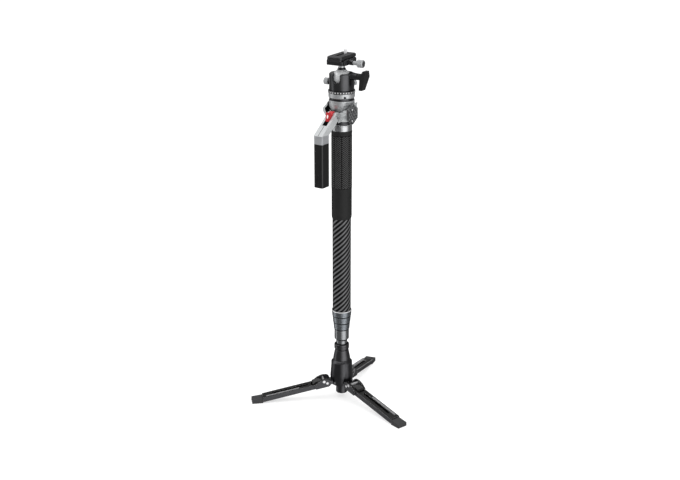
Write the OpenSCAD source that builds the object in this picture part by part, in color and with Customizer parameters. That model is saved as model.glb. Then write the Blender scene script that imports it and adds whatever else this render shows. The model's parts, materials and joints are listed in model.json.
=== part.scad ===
// Video monopod: a folding three-legged base, a four-section carbon column,
// a folding handle with a red trigger, a half bowl in a fork and a ball head.
// Millimetres, Z up, standing on the floor at z = 0. The origin is the centre of
// the footprint, and the column is vertical.

/* [Base legs] */
// Radius from the column axis to the outer end of a foot
leg_reach = 183; // [175:1:200]
// Compass direction of the first leg
leg_direction = 189.8; // [170:0.1:210]
// Angle of a deployed leg below the horizontal
leg_slope = 10.7; // [9.5:0.1:11.5]
// Width of a leg channel
leg_width = 22; // [21:0.5:23]
// Depth of a leg channel
leg_depth = 9.6; // [9:0.1:10.5]
// Thickness of the channel's walls and floor
leg_wall = 2.4; // [1.8:0.1:2.8]
// Half width of the slot along a leg's deck
leg_slot = 3.2; // [2:0.1:4]
// Length of a rubber foot
foot_length = 21.8; // [20:0.5:26]
// Width of a rubber foot
foot_width = 21.3; // [20:0.1:24]
// Height of a foot at its outer end
foot_toe_height = 7.7; // [7:0.1:9]
// Height of a foot at its inner end
foot_heel_height = 10.4; // [10:0.1:13]
// Height of the leg's underside over the floor where the foot begins
foot_lift = 2.4; // [2:0.1:3]

/* [Leg hinge] */
// Distance of a leg's hinge pin from the column axis
hinge_reach = 31.4; // [31:0.1:33]
// Radius of a hinge pin
hinge_pin_r = 2.5; // [2:0.1:2.7]
// Width over both ears of a leg
ear_span = 28; // [27:0.5:30]
// Thickness of one ear
ear_thick = 4.4; // [3.8:0.1:4.8]
// Radius of the steel rod across the ears
stop_rod_r = 2.8; // [2.4:0.1:3]

/* [Base hub] */
// Height of the hub's lower face over the floor
hub_floor = 29; // [28:0.5:30]
// Radius of the hub at its widest
hub_r = 23; // [22.5:0.1:23.2]
// Radius of the hub under its domed top
hub_top_r = 21; // [20.5:0.1:21.2]
// Height of the base ball's centre
base_ball_z = 62; // [61:0.1:63]
// Radius of the base ball
base_ball_r = 13; // [12:0.1:13.2]
// Radius of the hub's domed top about the base ball
hub_dome_r = 25.5; // [25.2:0.1:26]
// Radius of the round cap under the hub
hub_cap_r = 11.4; // [10:0.1:13]
// Height of that cap's face over the floor
hub_cap_floor = 8.8; // [6:0.1:12]

/* [Locking sleeve] */
// Radius of the sleeve's lower edge
sleeve_low_r = 17.2; // [16.8:0.1:17.6]
// Radius of the sleeve's upper edge
sleeve_high_r = 13.7; // [13.4:0.1:14.5]
// Height of the sleeve's upper edge
sleeve_top = 102.5; // [101:0.5:103]
// Radius of the open ring on the sleeve
sleeve_ring_r = 14.9; // [14.5:0.1:16]
// Height of the open ring
sleeve_ring_h = 10.5; // [9:0.5:11]

/* [Column] */
// Outer radius of the upper, outermost tube
tube_r = 18; // [17.7:0.1:18.1]
// Radius step from one tube to the next inside it
tube_step = 2; // [1.9:0.05:2.1]
// Wall of a carbon tube
tube_wall = 1.5; // [1.3:0.05:1.55]
// Height of the bottom fitting's top edge
fitting_top = 146; // [146:0.5:150]
// Radius of the bottom fitting
fitting_r = 14.5; // [14.2:0.1:15]
// Radius of the bottom fitting's neck
neck_r = 11; // [10.5:0.1:11.2]
// Radius of the spindle that the column turns on
spindle_r = 5; // [4:0.1:6]
// Height of a lock ring
lock_ring_h = 13.6; // [13:0.1:14]
// Flare of a lock ring from its lower to its upper edge
lock_ring_flare = 1.35; // [1.2:0.05:1.4]
// Lower radius of the top lock ring
lock_ring_r = 18.5; // [18.4:0.05:18.8]
// Radius step from one lock ring to the next
lock_ring_step = 1.65; // [1.55:0.05:1.7]
// Height of the upper tube's top end
column_top = 565; // [550:1:600]
// Length of a guide bush at the top of an inner tube
bush_length = 30; // [20:1:40]

/* [Column grip] */
// Length of the rubber grip
grip_length = 173.6; // [120:0.1:180]
// Outer radius of the rubber grip
grip_r = 20; // [19.2:0.1:20.8]
// Height of the polished collar over the grip
collar_h = 13; // [11:0.1:16]
// Outer radius of the polished collar
collar_r = 19.7; // [19.2:0.1:20.2]

/* [Bowl and fork] */
// Radius of the half bowl
bowl_r = 24.6; // [24.2:0.1:24.8]
// Thickness of the friction liner under the bowl
liner_wall = 0.7; // [0.5:0.1:0.8]
// Thickness of the fork's round wall
fork_wall = 3.6; // [3:0.1:4]
// Thickness of the fork's floor under the bowl
fork_floor = 8.8; // [8.5:0.1:9.5]
// Radius of the fork's waist
fork_waist_r = 19.4; // [19:0.1:19.8]
// Radius of the open gap between the fork's two cheeks
fork_gap_r = 24; // [23:0.1:24.5]

/* [Handle] */
// Compass direction of the handle from the column
handle_direction = 235; // [225:1:245]
// Distance from the column axis to the handle's outer face
handle_reach = 76.7; // [74:0.1:84]
// Depth of the handle
handle_depth = 23.2; // [20:0.1:25]
// Width of the handle
handle_width = 19.5; // [19:0.1:21]
// Distance of the handle's hinge pin from the column axis
handle_pin_reach = 27; // [27:0.1:28]
// Radius of the handle's hinge pin
handle_pin_r = 2.5; // [2:0.1:3]
// Radius of the knuckle round the hinge pin
knuckle_r = 8; // [7.6:0.1:8.1]
// Drop of the handle's sloping arm
arm_drop = 35; // [33:0.1:37]
// Height of the metal block over the handle's grip
block_h = 16; // [12:0.5:20]
// Length of the handle's grip
handle_grip_length = 83; // [70:1:95]
// Half width of the slot for the trigger
trigger_slot = 4.9; // [4.7:0.1:5.2]

/* [Fork knob] */
// Distance of the knob's screw in front of the column axis
knob_offset = 12.9; // [12.5:0.1:13.5]
// Half height of the six-sided knob
fork_knob_half_h = 19.8; // [18:0.1:20]
// Half width of the six-sided knob
fork_knob_half_w = 15; // [13:0.1:16]
// Thickness of the six-sided knob
fork_knob_thick = 6.2; // [5:0.1:9]
// Radius of the knob's screw
fork_screw_r = 3; // [2.5:0.1:3.2]

/* [Head base] */
// Compass direction of the ball head's drop notch
head_direction = 240; // [225:1:255]
// Radius of the silver turning plate
pan_plate_r = 24.9; // [24.5:0.1:25.1]
// Height of the silver turning plate
pan_plate_h = 8.6; // [8.4:0.1:10]
// Radius of the index ring
index_r = 25.7; // [25.2:0.1:26]
// Height of the index ring
index_h = 5.2; // [4:0.1:6]
// Radius of the pivot that the head turns on
pan_pivot_r = 9; // [7:0.1:10]

/* [Ball head] */
// Outer radius of the head's body
head_r = 23.6; // [23.2:0.1:24]
// Height of the head's body
head_h = 31.4; // [31:0.1:33]
// Radius of the ball
ball_r = 17; // [16.6:0.1:17.1]
// Depth of the ball's centre below the body's rim
ball_depth = 9; // [8.9:0.1:9.3]
// Radius of the stem on the ball
stem_r = 6.2; // [5.8:0.1:6.5]
// Radius of the stem's flange on the ball
flange_r = 8.2; // [7.8:0.1:8.4]
// Height of the clamp's underside over the body's rim
stem_h = 16.8; // [16:0.1:18]
// Length of the main lock's lever below its screw
lever_drop = 24.5; // [20:0.5:26]
// Radius of the main lock's screw
lock_screw_r = 3.5; // [3:0.1:4]
// Radius of the friction knob
friction_knob_r = 6.5; // [5.5:0.1:7]
// Radius of the pan lock knob
pan_knob_r = 5; // [4:0.1:5.5]

/* [Clamp and plate] */
// Length of the camera plate
plate_length = 58; // [54:1:60]
// Half width of the camera plate
plate_half_w = 15.5; // [15.3:0.1:15.9]
// Length of the clamp
clamp_length = 46; // [44:1:50]
// Thickness of the clamp's base
clamp_base_h = 7; // [6.8:0.1:7.6]
// Distance of the camera screw from the plate's middle
camera_screw_offset = 14; // [0:0.5:14]
// Radius of the camera screw's thread
camera_screw_r = 3.175; // [3:0.005:3.3]
// Length of the camera screw over the plate
camera_screw_h = 7; // [5:0.1:10]
// Radius of the clamp's screw
clamp_screw_r = 2.6; // [2:0.1:2.8]
// Radius of the clamp's knurled knob
clamp_knob_r = 7.4; // [6.5:0.1:7.6]

/* [Hidden] */
$fn = 96;

// clearances: between pieces that pass each other, and round a turning pin
gap = 0.3;
turn = 0.05;
// reach of a cut past the surface that it cuts
over = 1;

// the legs
leg_angles = [for (k = [0:2]) leg_direction + 120 * k];
foot_in = leg_reach - foot_length;
// the hinge pin lies this far over the channel's underside
pin_up = 8;
hinge_z = foot_lift + (foot_in - hinge_reach) * tan(leg_slope) + pin_up / cos(leg_slope);
leg_length = (foot_in - hinge_reach) / cos(leg_slope);
deck_v = leg_depth - pin_up;
ear_in = ear_span / 2 - ear_thick;
channel_start = 9;
channel_half = leg_width / 2;
cavity_half = channel_half - leg_wall;
ear_end = 26;
ear_r = 8;
// the rod across the ears and the tab's pin, along the leg and above the hinge pin
stop_rod_at = [5.8, 4.7];
tab_pin_at = [22, -1.6];
tab_pin_r = 1.5;
tab_half = 7.6;
tab_bay_end = 32;
// the tongue that holds the foot
tongue_length = 10;
tongue_half = 7;

// the footprint's middle, from the feet's outer corners, is the origin
toes = [for (a = leg_angles, s = [-1, 1])
  [leg_reach * cos(a) - s * foot_width / 2 * sin(a), leg_reach * sin(a) + s * foot_width / 2 * cos(a)]];
toes_x = [for (t = toes) t[0]];
toes_y = [for (t = toes) t[1]];
column_at = [-(min(toes_x) + max(toes_x)) / 2, -(min(toes_y) + max(toes_y)) / 2, 0];

// the hub
hub_bore_r = 16;
hub_waist_z = 71;
hub_belly_z = 46;
hub_low_r = 21;
ball_seat_r = base_ball_r + gap;
cup_floor = 44;
lug_r = 4.3;
lug_half = ear_in - gap;
spindle_foot_r = 7;
hub_mouth_r = 10.4;
hub_mouth_top_r = 13.2;
hub_mouth_z = base_ball_z + sqrt(pow(ball_seat_r, 2) - pow(hub_mouth_r, 2));
screw_directions = [for (k = [0:2]) leg_direction + 41.7 + 120 * k];
hub_screw_r = 2.1;
hub_screw_z = 35;

// the bottom fitting and the locking sleeve
neck_z = base_ball_z + 28;
fitting_low = fitting_top - 19.4;
fitting_chamfer = 3;
spindle_top = fitting_top + 6;
sleeve_seat_r = hub_dome_r + gap;
sleeve_bore_r = neck_r + turn;
sleeve_waist_r = sleeve_high_r - 1.1;
sleeve_groove = 2;
ring_mouth_r = sleeve_waist_r + 0.4;

// the column's sections, counted from the top: 1 is the outermost tube
function tube_out(i) = tube_r - (i - 1) * tube_step;
function tube_in(i) = tube_out(i) - tube_wall;
ring_gap = 0.4;
function ring_z(i) = fitting_top + ring_gap + (3 - i) * (lock_ring_h + ring_gap);
function ring_low_r(i) = lock_ring_r - (i - 1) * lock_ring_step;
collet_wall = 1;
collet_h = 5.6;
lip_h = 1;
tube_seat = 7;
function tube_z(i) = i == 4 ? fitting_top : ring_z(i) + tube_seat;
inner_clear = 20;
function tube_top(i) = i == 1 ? column_top : column_top - inner_clear - (i - 2) * 4;
bush_inset = 2;

// the top of the column
seal_h = 7;
fork_z = column_top + seal_h;
cup_r = bowl_r + gap + liner_wall + gap;
bowl_z = fork_z + fork_floor + cup_r;
fork_r = cup_r + fork_wall;
fork_rim_z = bowl_z - 1;
gap_lift = 4;
plug_stud_r = 5;
plug_depth = 13;

// the handle: distances from the column axis and heights
pin_z = fork_z + 12;
lug_half_w = trigger_slot - gap;
handle_half = handle_width / 2;
// where the arm's upper and lower lines leave the knuckle
knuckle_out = knuckle_r * cos(51.8);
knuckle_up = knuckle_r * sin(51.8);
arm_low = pin_z + knuckle_up - arm_drop;
block_low = arm_low - block_h;
handle_low = block_low - handle_grip_length;
handle_in = handle_reach - handle_depth;
slot_end = handle_reach - 20.7;
trigger_at = [handle_pin_reach + 12, pin_z - 5.5];
trigger_pin_r = 1.5;
trigger_half = trigger_slot - 0.5;
tang_half = 4.5;
tang_depth = 40;

// the fork's near cheek: its front leans back from the floor to the rim
cheek_in = handle_half + 1;
cheek_back = 8;
cheek_lean = 0.62;
cheek_foot = fork_r - 1.6;
cheek_top = cheek_foot - cheek_lean * (fork_rim_z - fork_z);
lug_front = handle_pin_reach - knuckle_r - 0.6;

// the fork's strap eye, a folded band on the far side
eye_out = fork_r + 3.5;
eye_mid = 7.8;
eye_length = 13.6;

// the fork's knob
knob_z = bowl_z - 17;
knob_face = fork_r + gap;
knob_boss_r = 5.5;

// the head, from the bowl upwards
bowl_neck_h = 4.4;
bowl_neck_r = 24.4;
seat_ring_r = 23.4;
seat_ring_h = 4.8;
bowl_stud_r = 4.75;
plate_z = bowl_z + bowl_neck_h + seat_ring_h;
index_z = plate_z + pan_plate_h;
head_z = index_z + index_h + gap;
head_top = head_z + head_h;
ball_z = head_top - ball_depth;
socket_r = ball_r + gap;
head_bore_r = 18.9;
cup_top = ball_z - flange_r - gap - 0.5;
notch_half = flange_r + 0.4;
pivot_h = 3.5;
lever_z = ball_z + 4.6;
lock_boss_in = 18.5;
lock_boss_r = 8;
lock_neck_r = 6.2;
lock_boss_end = 33.5;
lever_in = 39;
lever_out = 53;
friction_z = head_z + 12.5;
pan_knob_z = head_z + 9.5;

// the clamp and the plate
clamp_z = head_top + stem_h;
jaw_z = clamp_z + clamp_base_h;
clamp_axis_z = clamp_z + clamp_base_h / 2;
jaw_in = plate_half_w - 0.6;
jaw_h = 3.6;
jaw_split = plate_half_w - 1;
clamp_half = plate_half_w + 3.4;
stem_pivot_r = 4;
plate_low = jaw_z + gap;
plate_step = 3.7;
plate_h = 10.4;
plate_top = plate_low + plate_h;
screw_head_r = 5.6;
screw_head_h = 2.8;
clamp_knob_in = 34.4;
clamp_knob_out = 46.5;
jaw_boss_end = 25;

// Placing

module on_column() translate(column_at) children();
module toward(direction) rotate([0, 0, direction]) children();

// A cylinder along local X from x0 to x1, at height z
module bar_x(r, x0, x1, z) translate([x0, 0, z]) rotate([0, 90, 0]) cylinder(r = r, h = x1 - x0);

// A cylinder along local Y from y0 to y1, at (x, z)
module bar_y(r, x, z, y0, y1) translate([x, y1, z]) rotate([90, 0, 0]) cylinder(r = r, h = y1 - y0);

// A side view in X and Z, given a width along Y from y0 to y1
module side(y0, y1) translate([0, y1, 0]) rotate([90, 0, 0]) linear_extrude(y1 - y0) children();

// An upright ring
module ring(r_out, r_in, z0, z1) difference() {
  translate([0, 0, z0]) cylinder(r = r_out, h = z1 - z0);
  translate([0, 0, z0 - over]) cylinder(r = r_in, h = z1 - z0 + 2 * over);
}

// An upright bar with round corners, between x0 and x1 and out to half_w
module upright_bar(x0, x1, half_w, corner, z0, z1) translate([0, 0, z0]) linear_extrude(z1 - z0) {
  translate([x0 + corner, -half_w]) square([x1 - x0 - 2 * corner, 2 * half_w]);
  translate([x0, corner - half_w]) square([x1 - x0, 2 * (half_w - corner)]);
  for (x = [x0 + corner, x1 - corner], y = [corner - half_w, half_w - corner])
    translate([x, y]) circle(r = corner);
}

// Legs

module in_leg(i) on_column() toward(leg_angles[i - 1]) translate([hinge_reach, 0, hinge_z])
  rotate([0, leg_slope, 0]) children();

module ear_outline() {
  circle(r = ear_r);
  polygon([[0, -ear_r], [ear_end - 2, -pin_up], [ear_end, 2 - pin_up], [ear_end, deck_v], [17, 6.6],
    [9, 8.8], [3, 8.8], [0, ear_r]]);
}

module leg_tongue(i) in_leg(i) translate([leg_length - over, -tongue_half, 2.3 - pin_up])
  cube([tongue_length + over, 2 * tongue_half, 4.4]);

module leg_channel(i) color("dimgray") {
  difference() {
    in_leg(i) difference() {
      union() {
        translate([channel_start, -channel_half, -pin_up])
          cube([leg_length + 4 - channel_start, leg_width, leg_depth]);
        for (s = [-1, 1]) side(s > 0 ? ear_in : -ear_span / 2, s > 0 ? ear_span / 2 : -ear_in) ear_outline();
      }
      // the tunnel under the deck, the tab's bay and the long slot
      translate([channel_start - over, -cavity_half, leg_wall - pin_up])
        cube([leg_length - 8 - channel_start, 2 * cavity_half, leg_depth - leg_wall - 1.8]);
      translate([channel_start - over, -cavity_half, leg_wall - pin_up])
        cube([tab_bay_end - channel_start + over, 2 * cavity_half, leg_depth]);
      translate([tab_bay_end + 6, -leg_slot, -3]) cube([leg_length - tab_bay_end - 24, 2 * leg_slot, leg_depth]);
      bar_y(hinge_pin_r + turn, 0, 0, -ear_span, ear_span);
      bar_y(stop_rod_r, stop_rod_at[0], stop_rod_at[1], -ear_span, ear_span);
      bar_y(tab_pin_r, tab_pin_at[0], tab_pin_at[1], -ear_span, ear_span);
    }
    // the channel ends upright against the foot
    on_column() toward(leg_angles[i - 1]) translate([foot_in, -leg_width, -over])
      cube([foot_length, 2 * leg_width, 4 * leg_depth]);
  }
  intersection() {
    leg_tongue(i);
    on_column() toward(leg_angles[i - 1]) translate([foot_in - 3 * over, -leg_width, 0])
      cube([foot_length, 2 * leg_width, 4 * leg_depth]);
  }
}

module foot_cap(i) color("darkslategray") difference() {
  on_column() toward(leg_angles[i - 1]) side(-foot_width / 2, foot_width / 2)
    polygon([[foot_in, 0], [leg_reach, 0], [leg_reach, foot_toe_height], [foot_in, foot_heel_height]]);
  leg_tongue(i);
}

module leg_rods(i) color("silver") in_leg(i) {
  bar_y(stop_rod_r, stop_rod_at[0], stop_rod_at[1], -ear_span / 2 - 0.4, ear_span / 2 + 0.4);
  bar_y(tab_pin_r, tab_pin_at[0], tab_pin_at[1], -channel_half, channel_half);
}

module leg_tab(i) color("black") in_leg(i) difference() {
  side(-tab_half, tab_half) {
    polygon([[10.4, 2.2], [29, 1.2], [29, 4.2], [26.5, 6], [17, 6.2], [10.4, 4.8]]);
    translate([tab_pin_at[0] - 2.6, tab_pin_at[1]]) square([5.2, 5]);
    translate(tab_pin_at) circle(r = 2.6);
  }
  bar_y(tab_pin_r + turn, tab_pin_at[0], tab_pin_at[1], -ear_span, ear_span);
}

// Base

module hub_shell() color("black") on_column() difference() {
  union() {
    rotate_extrude() polygon([[0, hub_floor], [hub_low_r, hub_floor], [hub_r, hub_belly_z],
      [hub_top_r, hub_waist_z], [0, hub_waist_z]]);
    intersection() {
      translate([0, 0, hub_waist_z - over]) cylinder(r = hub_top_r, h = 12);
      translate([0, 0, base_ball_z]) sphere(r = hub_dome_r);
    }
    for (a = leg_angles) toward(a) side(-lug_half, lug_half) {
      translate([hinge_reach, hinge_z]) circle(r = lug_r);
      polygon([[hub_bore_r, hub_floor + 0.5], [hinge_reach, hinge_z - lug_r], [hinge_reach - 4.4, hinge_z + 2.4],
        [hub_bore_r, hinge_z + 2.4]]);
    }
  }
  translate([0, 0, hub_floor - over]) cylinder(r = hub_bore_r, h = base_ball_z - hub_floor + over);
  translate([0, 0, base_ball_z]) sphere(r = ball_seat_r);
  translate([0, 0, hub_mouth_z - 2]) cylinder(r = hub_mouth_r, h = 2.01);
  translate([0, 0, hub_mouth_z]) cylinder(r1 = hub_mouth_r, r2 = hub_mouth_top_r, h = 12);
  for (a = leg_angles) toward(a) bar_y(hinge_pin_r, hinge_reach, hinge_z, -ear_span, ear_span);
  for (a = screw_directions) toward(a) bar_x(hub_screw_r, hub_bore_r + 2, hub_r + over, hub_screw_z);
}

module hub_bottom_cap() color("black") on_column() {
  translate([0, 0, hub_cap_floor]) cylinder(r = hub_cap_r, h = hub_floor - hub_cap_floor + over);
  translate([0, 0, hub_floor]) cylinder(r = hub_bore_r, h = cup_floor - hub_floor);
}

module hub_screws() color("silver") on_column()
  for (a = screw_directions) toward(a) bar_x(hub_screw_r, hub_bore_r + 2, hub_low_r + 1.4, hub_screw_z);

module leg_hinge_pins() color("silver") on_column()
  for (a = leg_angles) toward(a) bar_y(hinge_pin_r, hinge_reach, hinge_z, -ear_span / 2 - 0.6, ear_span / 2 + 0.6);

module ball_cup() color("gray") on_column() difference() {
  translate([0, 0, cup_floor]) cylinder(r = hub_bore_r, h = base_ball_z - gap - cup_floor);
  translate([0, 0, base_ball_z]) sphere(r = ball_seat_r);
}

module base_ball() color("silver") on_column() translate([0, 0, base_ball_z]) sphere(r = base_ball_r);

module base_spindle() color("silver") on_column() {
  difference() {
    translate([0, 0, base_ball_z + base_ball_r / 2]) cylinder(r = spindle_foot_r, h = neck_z - gap - base_ball_z - base_ball_r / 2);
    translate([0, 0, base_ball_z]) sphere(r = ball_seat_r);
  }
  translate([0, 0, neck_z - over]) cylinder(r = spindle_r, h = spindle_top - neck_z + over);
  translate([0, 0, spindle_top]) cylinder(r = spindle_r + 3, h = 4);
}

// Column

module bottom_fitting() color("silver") on_column() difference() {
  rotate_extrude() polygon([[spindle_r + turn, neck_z], [neck_r, neck_z], [neck_r, fitting_low - fitting_chamfer],
    [fitting_r, fitting_low], [fitting_r, fitting_top], [tube_in(4), fitting_top],
    [tube_in(4), fitting_top + 24], [spindle_r + turn, fitting_top + 24]]);
  translate([0, 0, spindle_top - gap]) cylinder(r = spindle_r + 3.5, h = 30);
}

module carbon_tube(i) color("gray") on_column() ring(tube_out(i), tube_in(i), tube_z(i), tube_top(i));

module guide_bush(i) color("whitesmoke") on_column() ring(tube_in(i - 1) - turn, tube_out(i),
  tube_top(i) - bush_inset - bush_length, tube_top(i) - bush_inset);

// A split collet that the lock ring squeezes onto the next tube
module lock_collet(i) color("whitesmoke") on_column() difference() {
  ring(tube_out(i + 1) + gap + collet_wall, tube_out(i + 1) + gap, ring_z(i) + lip_h + 0.2, ring_z(i) + lip_h + 0.2 + collet_h);
  translate([0, -0.8, ring_z(i)]) cube([30, 1.6, lock_ring_h]);
}

module lock_ring(i) color("slategray") on_column() rotate_extrude() let (
    z = ring_z(i),
    low = ring_low_r(i),
    lip_r = tube_out(i + 1) + gap,
    collet_r = tube_out(i + 1) + gap + collet_wall + turn,
    tube_bore = tube_out(i) + turn)
  polygon([[lip_r, z], [low, z], [low + lock_ring_flare, z + lock_ring_h], [tube_bore, z + lock_ring_h],
    [tube_bore, z + tube_seat - 0.1], [collet_r, z + tube_seat - 0.1], [collet_r, z + lip_h], [lip_r, z + lip_h]]);

module lock_sleeve() color("black") on_column() difference() {
  rotate_extrude() polygon([[sleeve_bore_r, base_ball_z + 10], [sleeve_low_r, base_ball_z + 10],
    [sleeve_low_r, base_ball_z + 22], [sleeve_low_r - 0.9, base_ball_z + 26.5], [sleeve_high_r, sleeve_top],
    [sleeve_waist_r, sleeve_top], [sleeve_waist_r, sleeve_top + 7], [sleeve_bore_r, sleeve_top + 7]]);
  translate([0, 0, base_ball_z]) sphere(r = sleeve_seat_r);
}

module sleeve_ring() color("black") on_column() rotate_extrude() let (z = sleeve_top + sleeve_groove)
  polygon([[sleeve_waist_r, z], [sleeve_ring_r - 0.8, z], [sleeve_ring_r, z + 1.2], [sleeve_ring_r, z + sleeve_ring_h],
    [ring_mouth_r, z + sleeve_ring_h], [ring_mouth_r, sleeve_top + 7], [sleeve_waist_r, sleeve_top + 7]]);

module column_grip() color("black") on_column() rotate_extrude() let (top = column_top - collar_h, low = top - grip_length)
  polygon([[tube_r, low], [tube_r + 0.7, low], [grip_r, low + 5], [grip_r, top - 0.6], [grip_r - 0.5, top], [tube_r, top]]);

module top_collar() color("silver") on_column() rotate_extrude() let (low = column_top - collar_h)
  polygon([[tube_r, low], [collar_r - 0.5, low], [collar_r, low + 1], [collar_r, column_top - 1.4],
    [collar_r - 1, column_top], [tube_r, column_top]]);

module head_plug() color("black") on_column() {
  translate([0, 0, column_top - plug_depth]) cylinder(r = tube_in(1), h = plug_depth + over);
  translate([0, 0, column_top]) cylinder(r = tube_r + 0.4, h = seal_h);
  translate([0, 0, fork_z - over]) cylinder(r = plug_stud_r, h = 7 + over);
}

// Fork, knob and handle

module at_handle() on_column() toward(handle_direction) children();

module strap_eye() color("silver") at_handle() difference() {
  translate([eye_mid, 0, bowl_z]) along_x(eye_length) polygon([[-12, -1], [-eye_out + 11.5, -1],
    [-eye_out, -13.4], [-eye_out, -19.1], [-eye_out + 7.8, -30], [-12, -30]]);
  translate([eye_mid, 0, bowl_z]) along_x(2 * eye_length) polygon([[-11, -4.5], [-eye_out + 12.5, -4.5],
    [-eye_out + 4.8, -13.3], [-eye_out + 5, -17.2], [-eye_out + 9.8, -24.4], [-11, -26.5]]);
  translate([0, 0, bowl_z]) sphere(r = cup_r);
  translate([0, 0, fork_z - 20]) cylinder(r = fork_waist_r, h = 60);
}

// The near cheek: its leaning side view, cut to its outline from the front
module fork_cheek() intersection() {
  side(cheek_in, fork_r) polygon([[-cheek_back, fork_z], [cheek_foot, fork_z], [cheek_top, fork_rim_z],
    [-cheek_back, fork_rim_z]]);
  translate([0, 0, fork_z]) along_x(4 * fork_r) polygon([[cheek_in - over, 0], [cheek_in, 0], [13, 7.2], [22, 14.2],
    [fork_r + over, 20.8], [fork_r + over, 27], [27, fork_rim_z - fork_z + over], [cheek_in - over, 50]]);
}

module bowl_fork() color("gainsboro") at_handle() difference() {
  union() {
    translate([0, 0, fork_z]) cylinder(r = fork_waist_r, h = 14);
    difference() {
      translate([0, 0, bowl_z]) sphere(r = fork_r);
      translate([-50, -50, fork_z - 50]) cube([100, 100, 50]);
      translate([-50, -50, fork_rim_z]) cube([100, 100, 50]);
      bar_x(fork_gap_r, -50, 50, bowl_z + gap_lift);
      side(-50, 50) polygon([[cheek_foot + cheek_lean, fork_z - 1], [60, fork_z - 1], [60, fork_rim_z + 1],
        [cheek_top - cheek_lean, fork_rim_z + 1]]);
      // the far side's opening, which the strap eye spans
      translate([eye_mid - eye_length / 2, -60, bowl_z - 30]) cube([60, 48, 60]);
    }
    fork_cheek();
    side(-lug_half_w, cheek_in) polygon([[0, fork_z], [lug_front, fork_z],
      [lug_front, fork_z + (cheek_foot - lug_front) / cheek_lean], [cheek_top, fork_rim_z], [0, fork_rim_z]]);
    bar_y(knob_boss_r, knob_offset, knob_z, 15, fork_r - 0.2);
    // the knuckle between the handle's rails
    bar_y(knuckle_r, handle_pin_reach, pin_z, -lug_half_w, lug_half_w);
    side(-lug_half_w, lug_half_w) polygon([[12, pin_z - knuckle_r + 0.3], [handle_pin_reach, pin_z - knuckle_r + 0.3],
      [handle_pin_reach, pin_z + knuckle_r - 0.3], [handle_pin_reach - 6, pin_z + 3], [12, pin_z + 3]]);
  }
  translate([0, 0, bowl_z]) sphere(r = cup_r);
  for (s = [-1, 1]) bar_y(knuckle_r + 0.6, handle_pin_reach, pin_z,
    s > 0 ? lug_half_w : -cheek_in, s > 0 ? cheek_in : -lug_half_w);
  bar_y(handle_pin_r, handle_pin_reach, pin_z, -lug_half_w - over, lug_half_w + over);
  bar_y(fork_screw_r + turn, knob_offset, knob_z, 14, fork_r + over);
  translate([0, 0, fork_z - over]) cylinder(r = plug_stud_r, h = 7 + over);
}

module handle_pin() color("silver") at_handle() {
  bar_y(handle_pin_r, handle_pin_reach, pin_z, -handle_half - 1, handle_half + 1);
  bar_y(handle_pin_r + 1.7, handle_pin_reach, pin_z, handle_half + gap, handle_half + 1.5);
  bar_y(handle_pin_r + 1.7, handle_pin_reach, pin_z, -handle_half - 1.5, -handle_half - gap);
}

module fork_knob() color("slategray") at_handle() {
  side(knob_face, knob_face + fork_knob_thick) translate([knob_offset, knob_z]) polygon([
    [0, fork_knob_half_h], [fork_knob_half_w, fork_knob_half_h * 0.48], [fork_knob_half_w, -fork_knob_half_h * 0.48],
    [0, -fork_knob_half_h], [-fork_knob_half_w, -fork_knob_half_h * 0.48], [-fork_knob_half_w, fork_knob_half_h * 0.48]]);
  bar_y(fork_screw_r, knob_offset, knob_z, 17.2, knob_face + over);
}

module handle_frame() color("gainsboro") at_handle() difference() {
  union() {
    bar_y(knuckle_r, handle_pin_reach, pin_z, -handle_half, handle_half);
    side(-handle_half, handle_half) polygon([[handle_pin_reach + knuckle_out - 0.2, pin_z + knuckle_up - 0.2],
      [handle_reach, arm_low], [handle_in, arm_low], [handle_pin_reach - knuckle_out + 0.2, pin_z - knuckle_up + 0.2]]);
  }
  // the slot that leaves two rails
  translate([0, -trigger_slot, arm_low - over]) cube([slot_end, 2 * trigger_slot, 2 * arm_drop]);
  bar_y(handle_pin_r + turn, handle_pin_reach, pin_z, -handle_width, handle_width);
  bar_y(trigger_pin_r + turn, trigger_at[0], trigger_at[1], -handle_width, handle_width);
}

module handle_block() color("darkgray") at_handle() {
  upright_bar(handle_in, handle_reach, handle_half, 2.5, block_low, arm_low);
  translate([(handle_in + handle_reach) / 2 - 7, -tang_half, block_low - tang_depth])
    cube([14, 2 * tang_half, tang_depth + over]);
}

module handle_grip() color("black") at_handle() difference() {
  upright_bar(handle_in - 0.4, handle_reach + 0.4, handle_half + 0.5, 4, handle_low, block_low);
  translate([(handle_in + handle_reach) / 2 - 7, -tang_half, block_low - tang_depth])
    cube([14, 2 * tang_half, tang_depth + over]);
  translate([handle_reach - 1.1, -4.7, handle_low + 7]) cube([4, 5.8, 18]);
}

module trigger() color("crimson") at_handle() {
  difference() {
    side(-trigger_half, trigger_half) translate(trigger_at) {
      circle(r = 3.6);
      // the finger pad and the tail over the knuckle
      polygon([[-2, -2.9], [2, -2.9], [7.6, -1.4], [5.6, 15.6], [2, 13.8], [1, 5.5], [-2.5, 12.5], [-6, 15.4],
        [-11.3, 15.1], [-11.3, 12.5], [-8.5, 12], [-3.2, 6]]);
    }
    bar_y(knuckle_r + 0.4, handle_pin_reach, pin_z, -trigger_slot, trigger_slot);
  }
  bar_y(trigger_pin_r, trigger_at[0], trigger_at[1], -handle_half, handle_half);
}

// Half bowl and turning plate

module at_head() on_column() toward(head_direction) children();

module bowl_liner() color("whitesmoke") on_column() difference() {
  translate([0, 0, bowl_z]) sphere(r = bowl_r + gap + liner_wall);
  translate([0, 0, bowl_z]) sphere(r = bowl_r + gap);
  translate([-50, -50, bowl_z - 21]) cube([100, 100, 60]);
}

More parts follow.
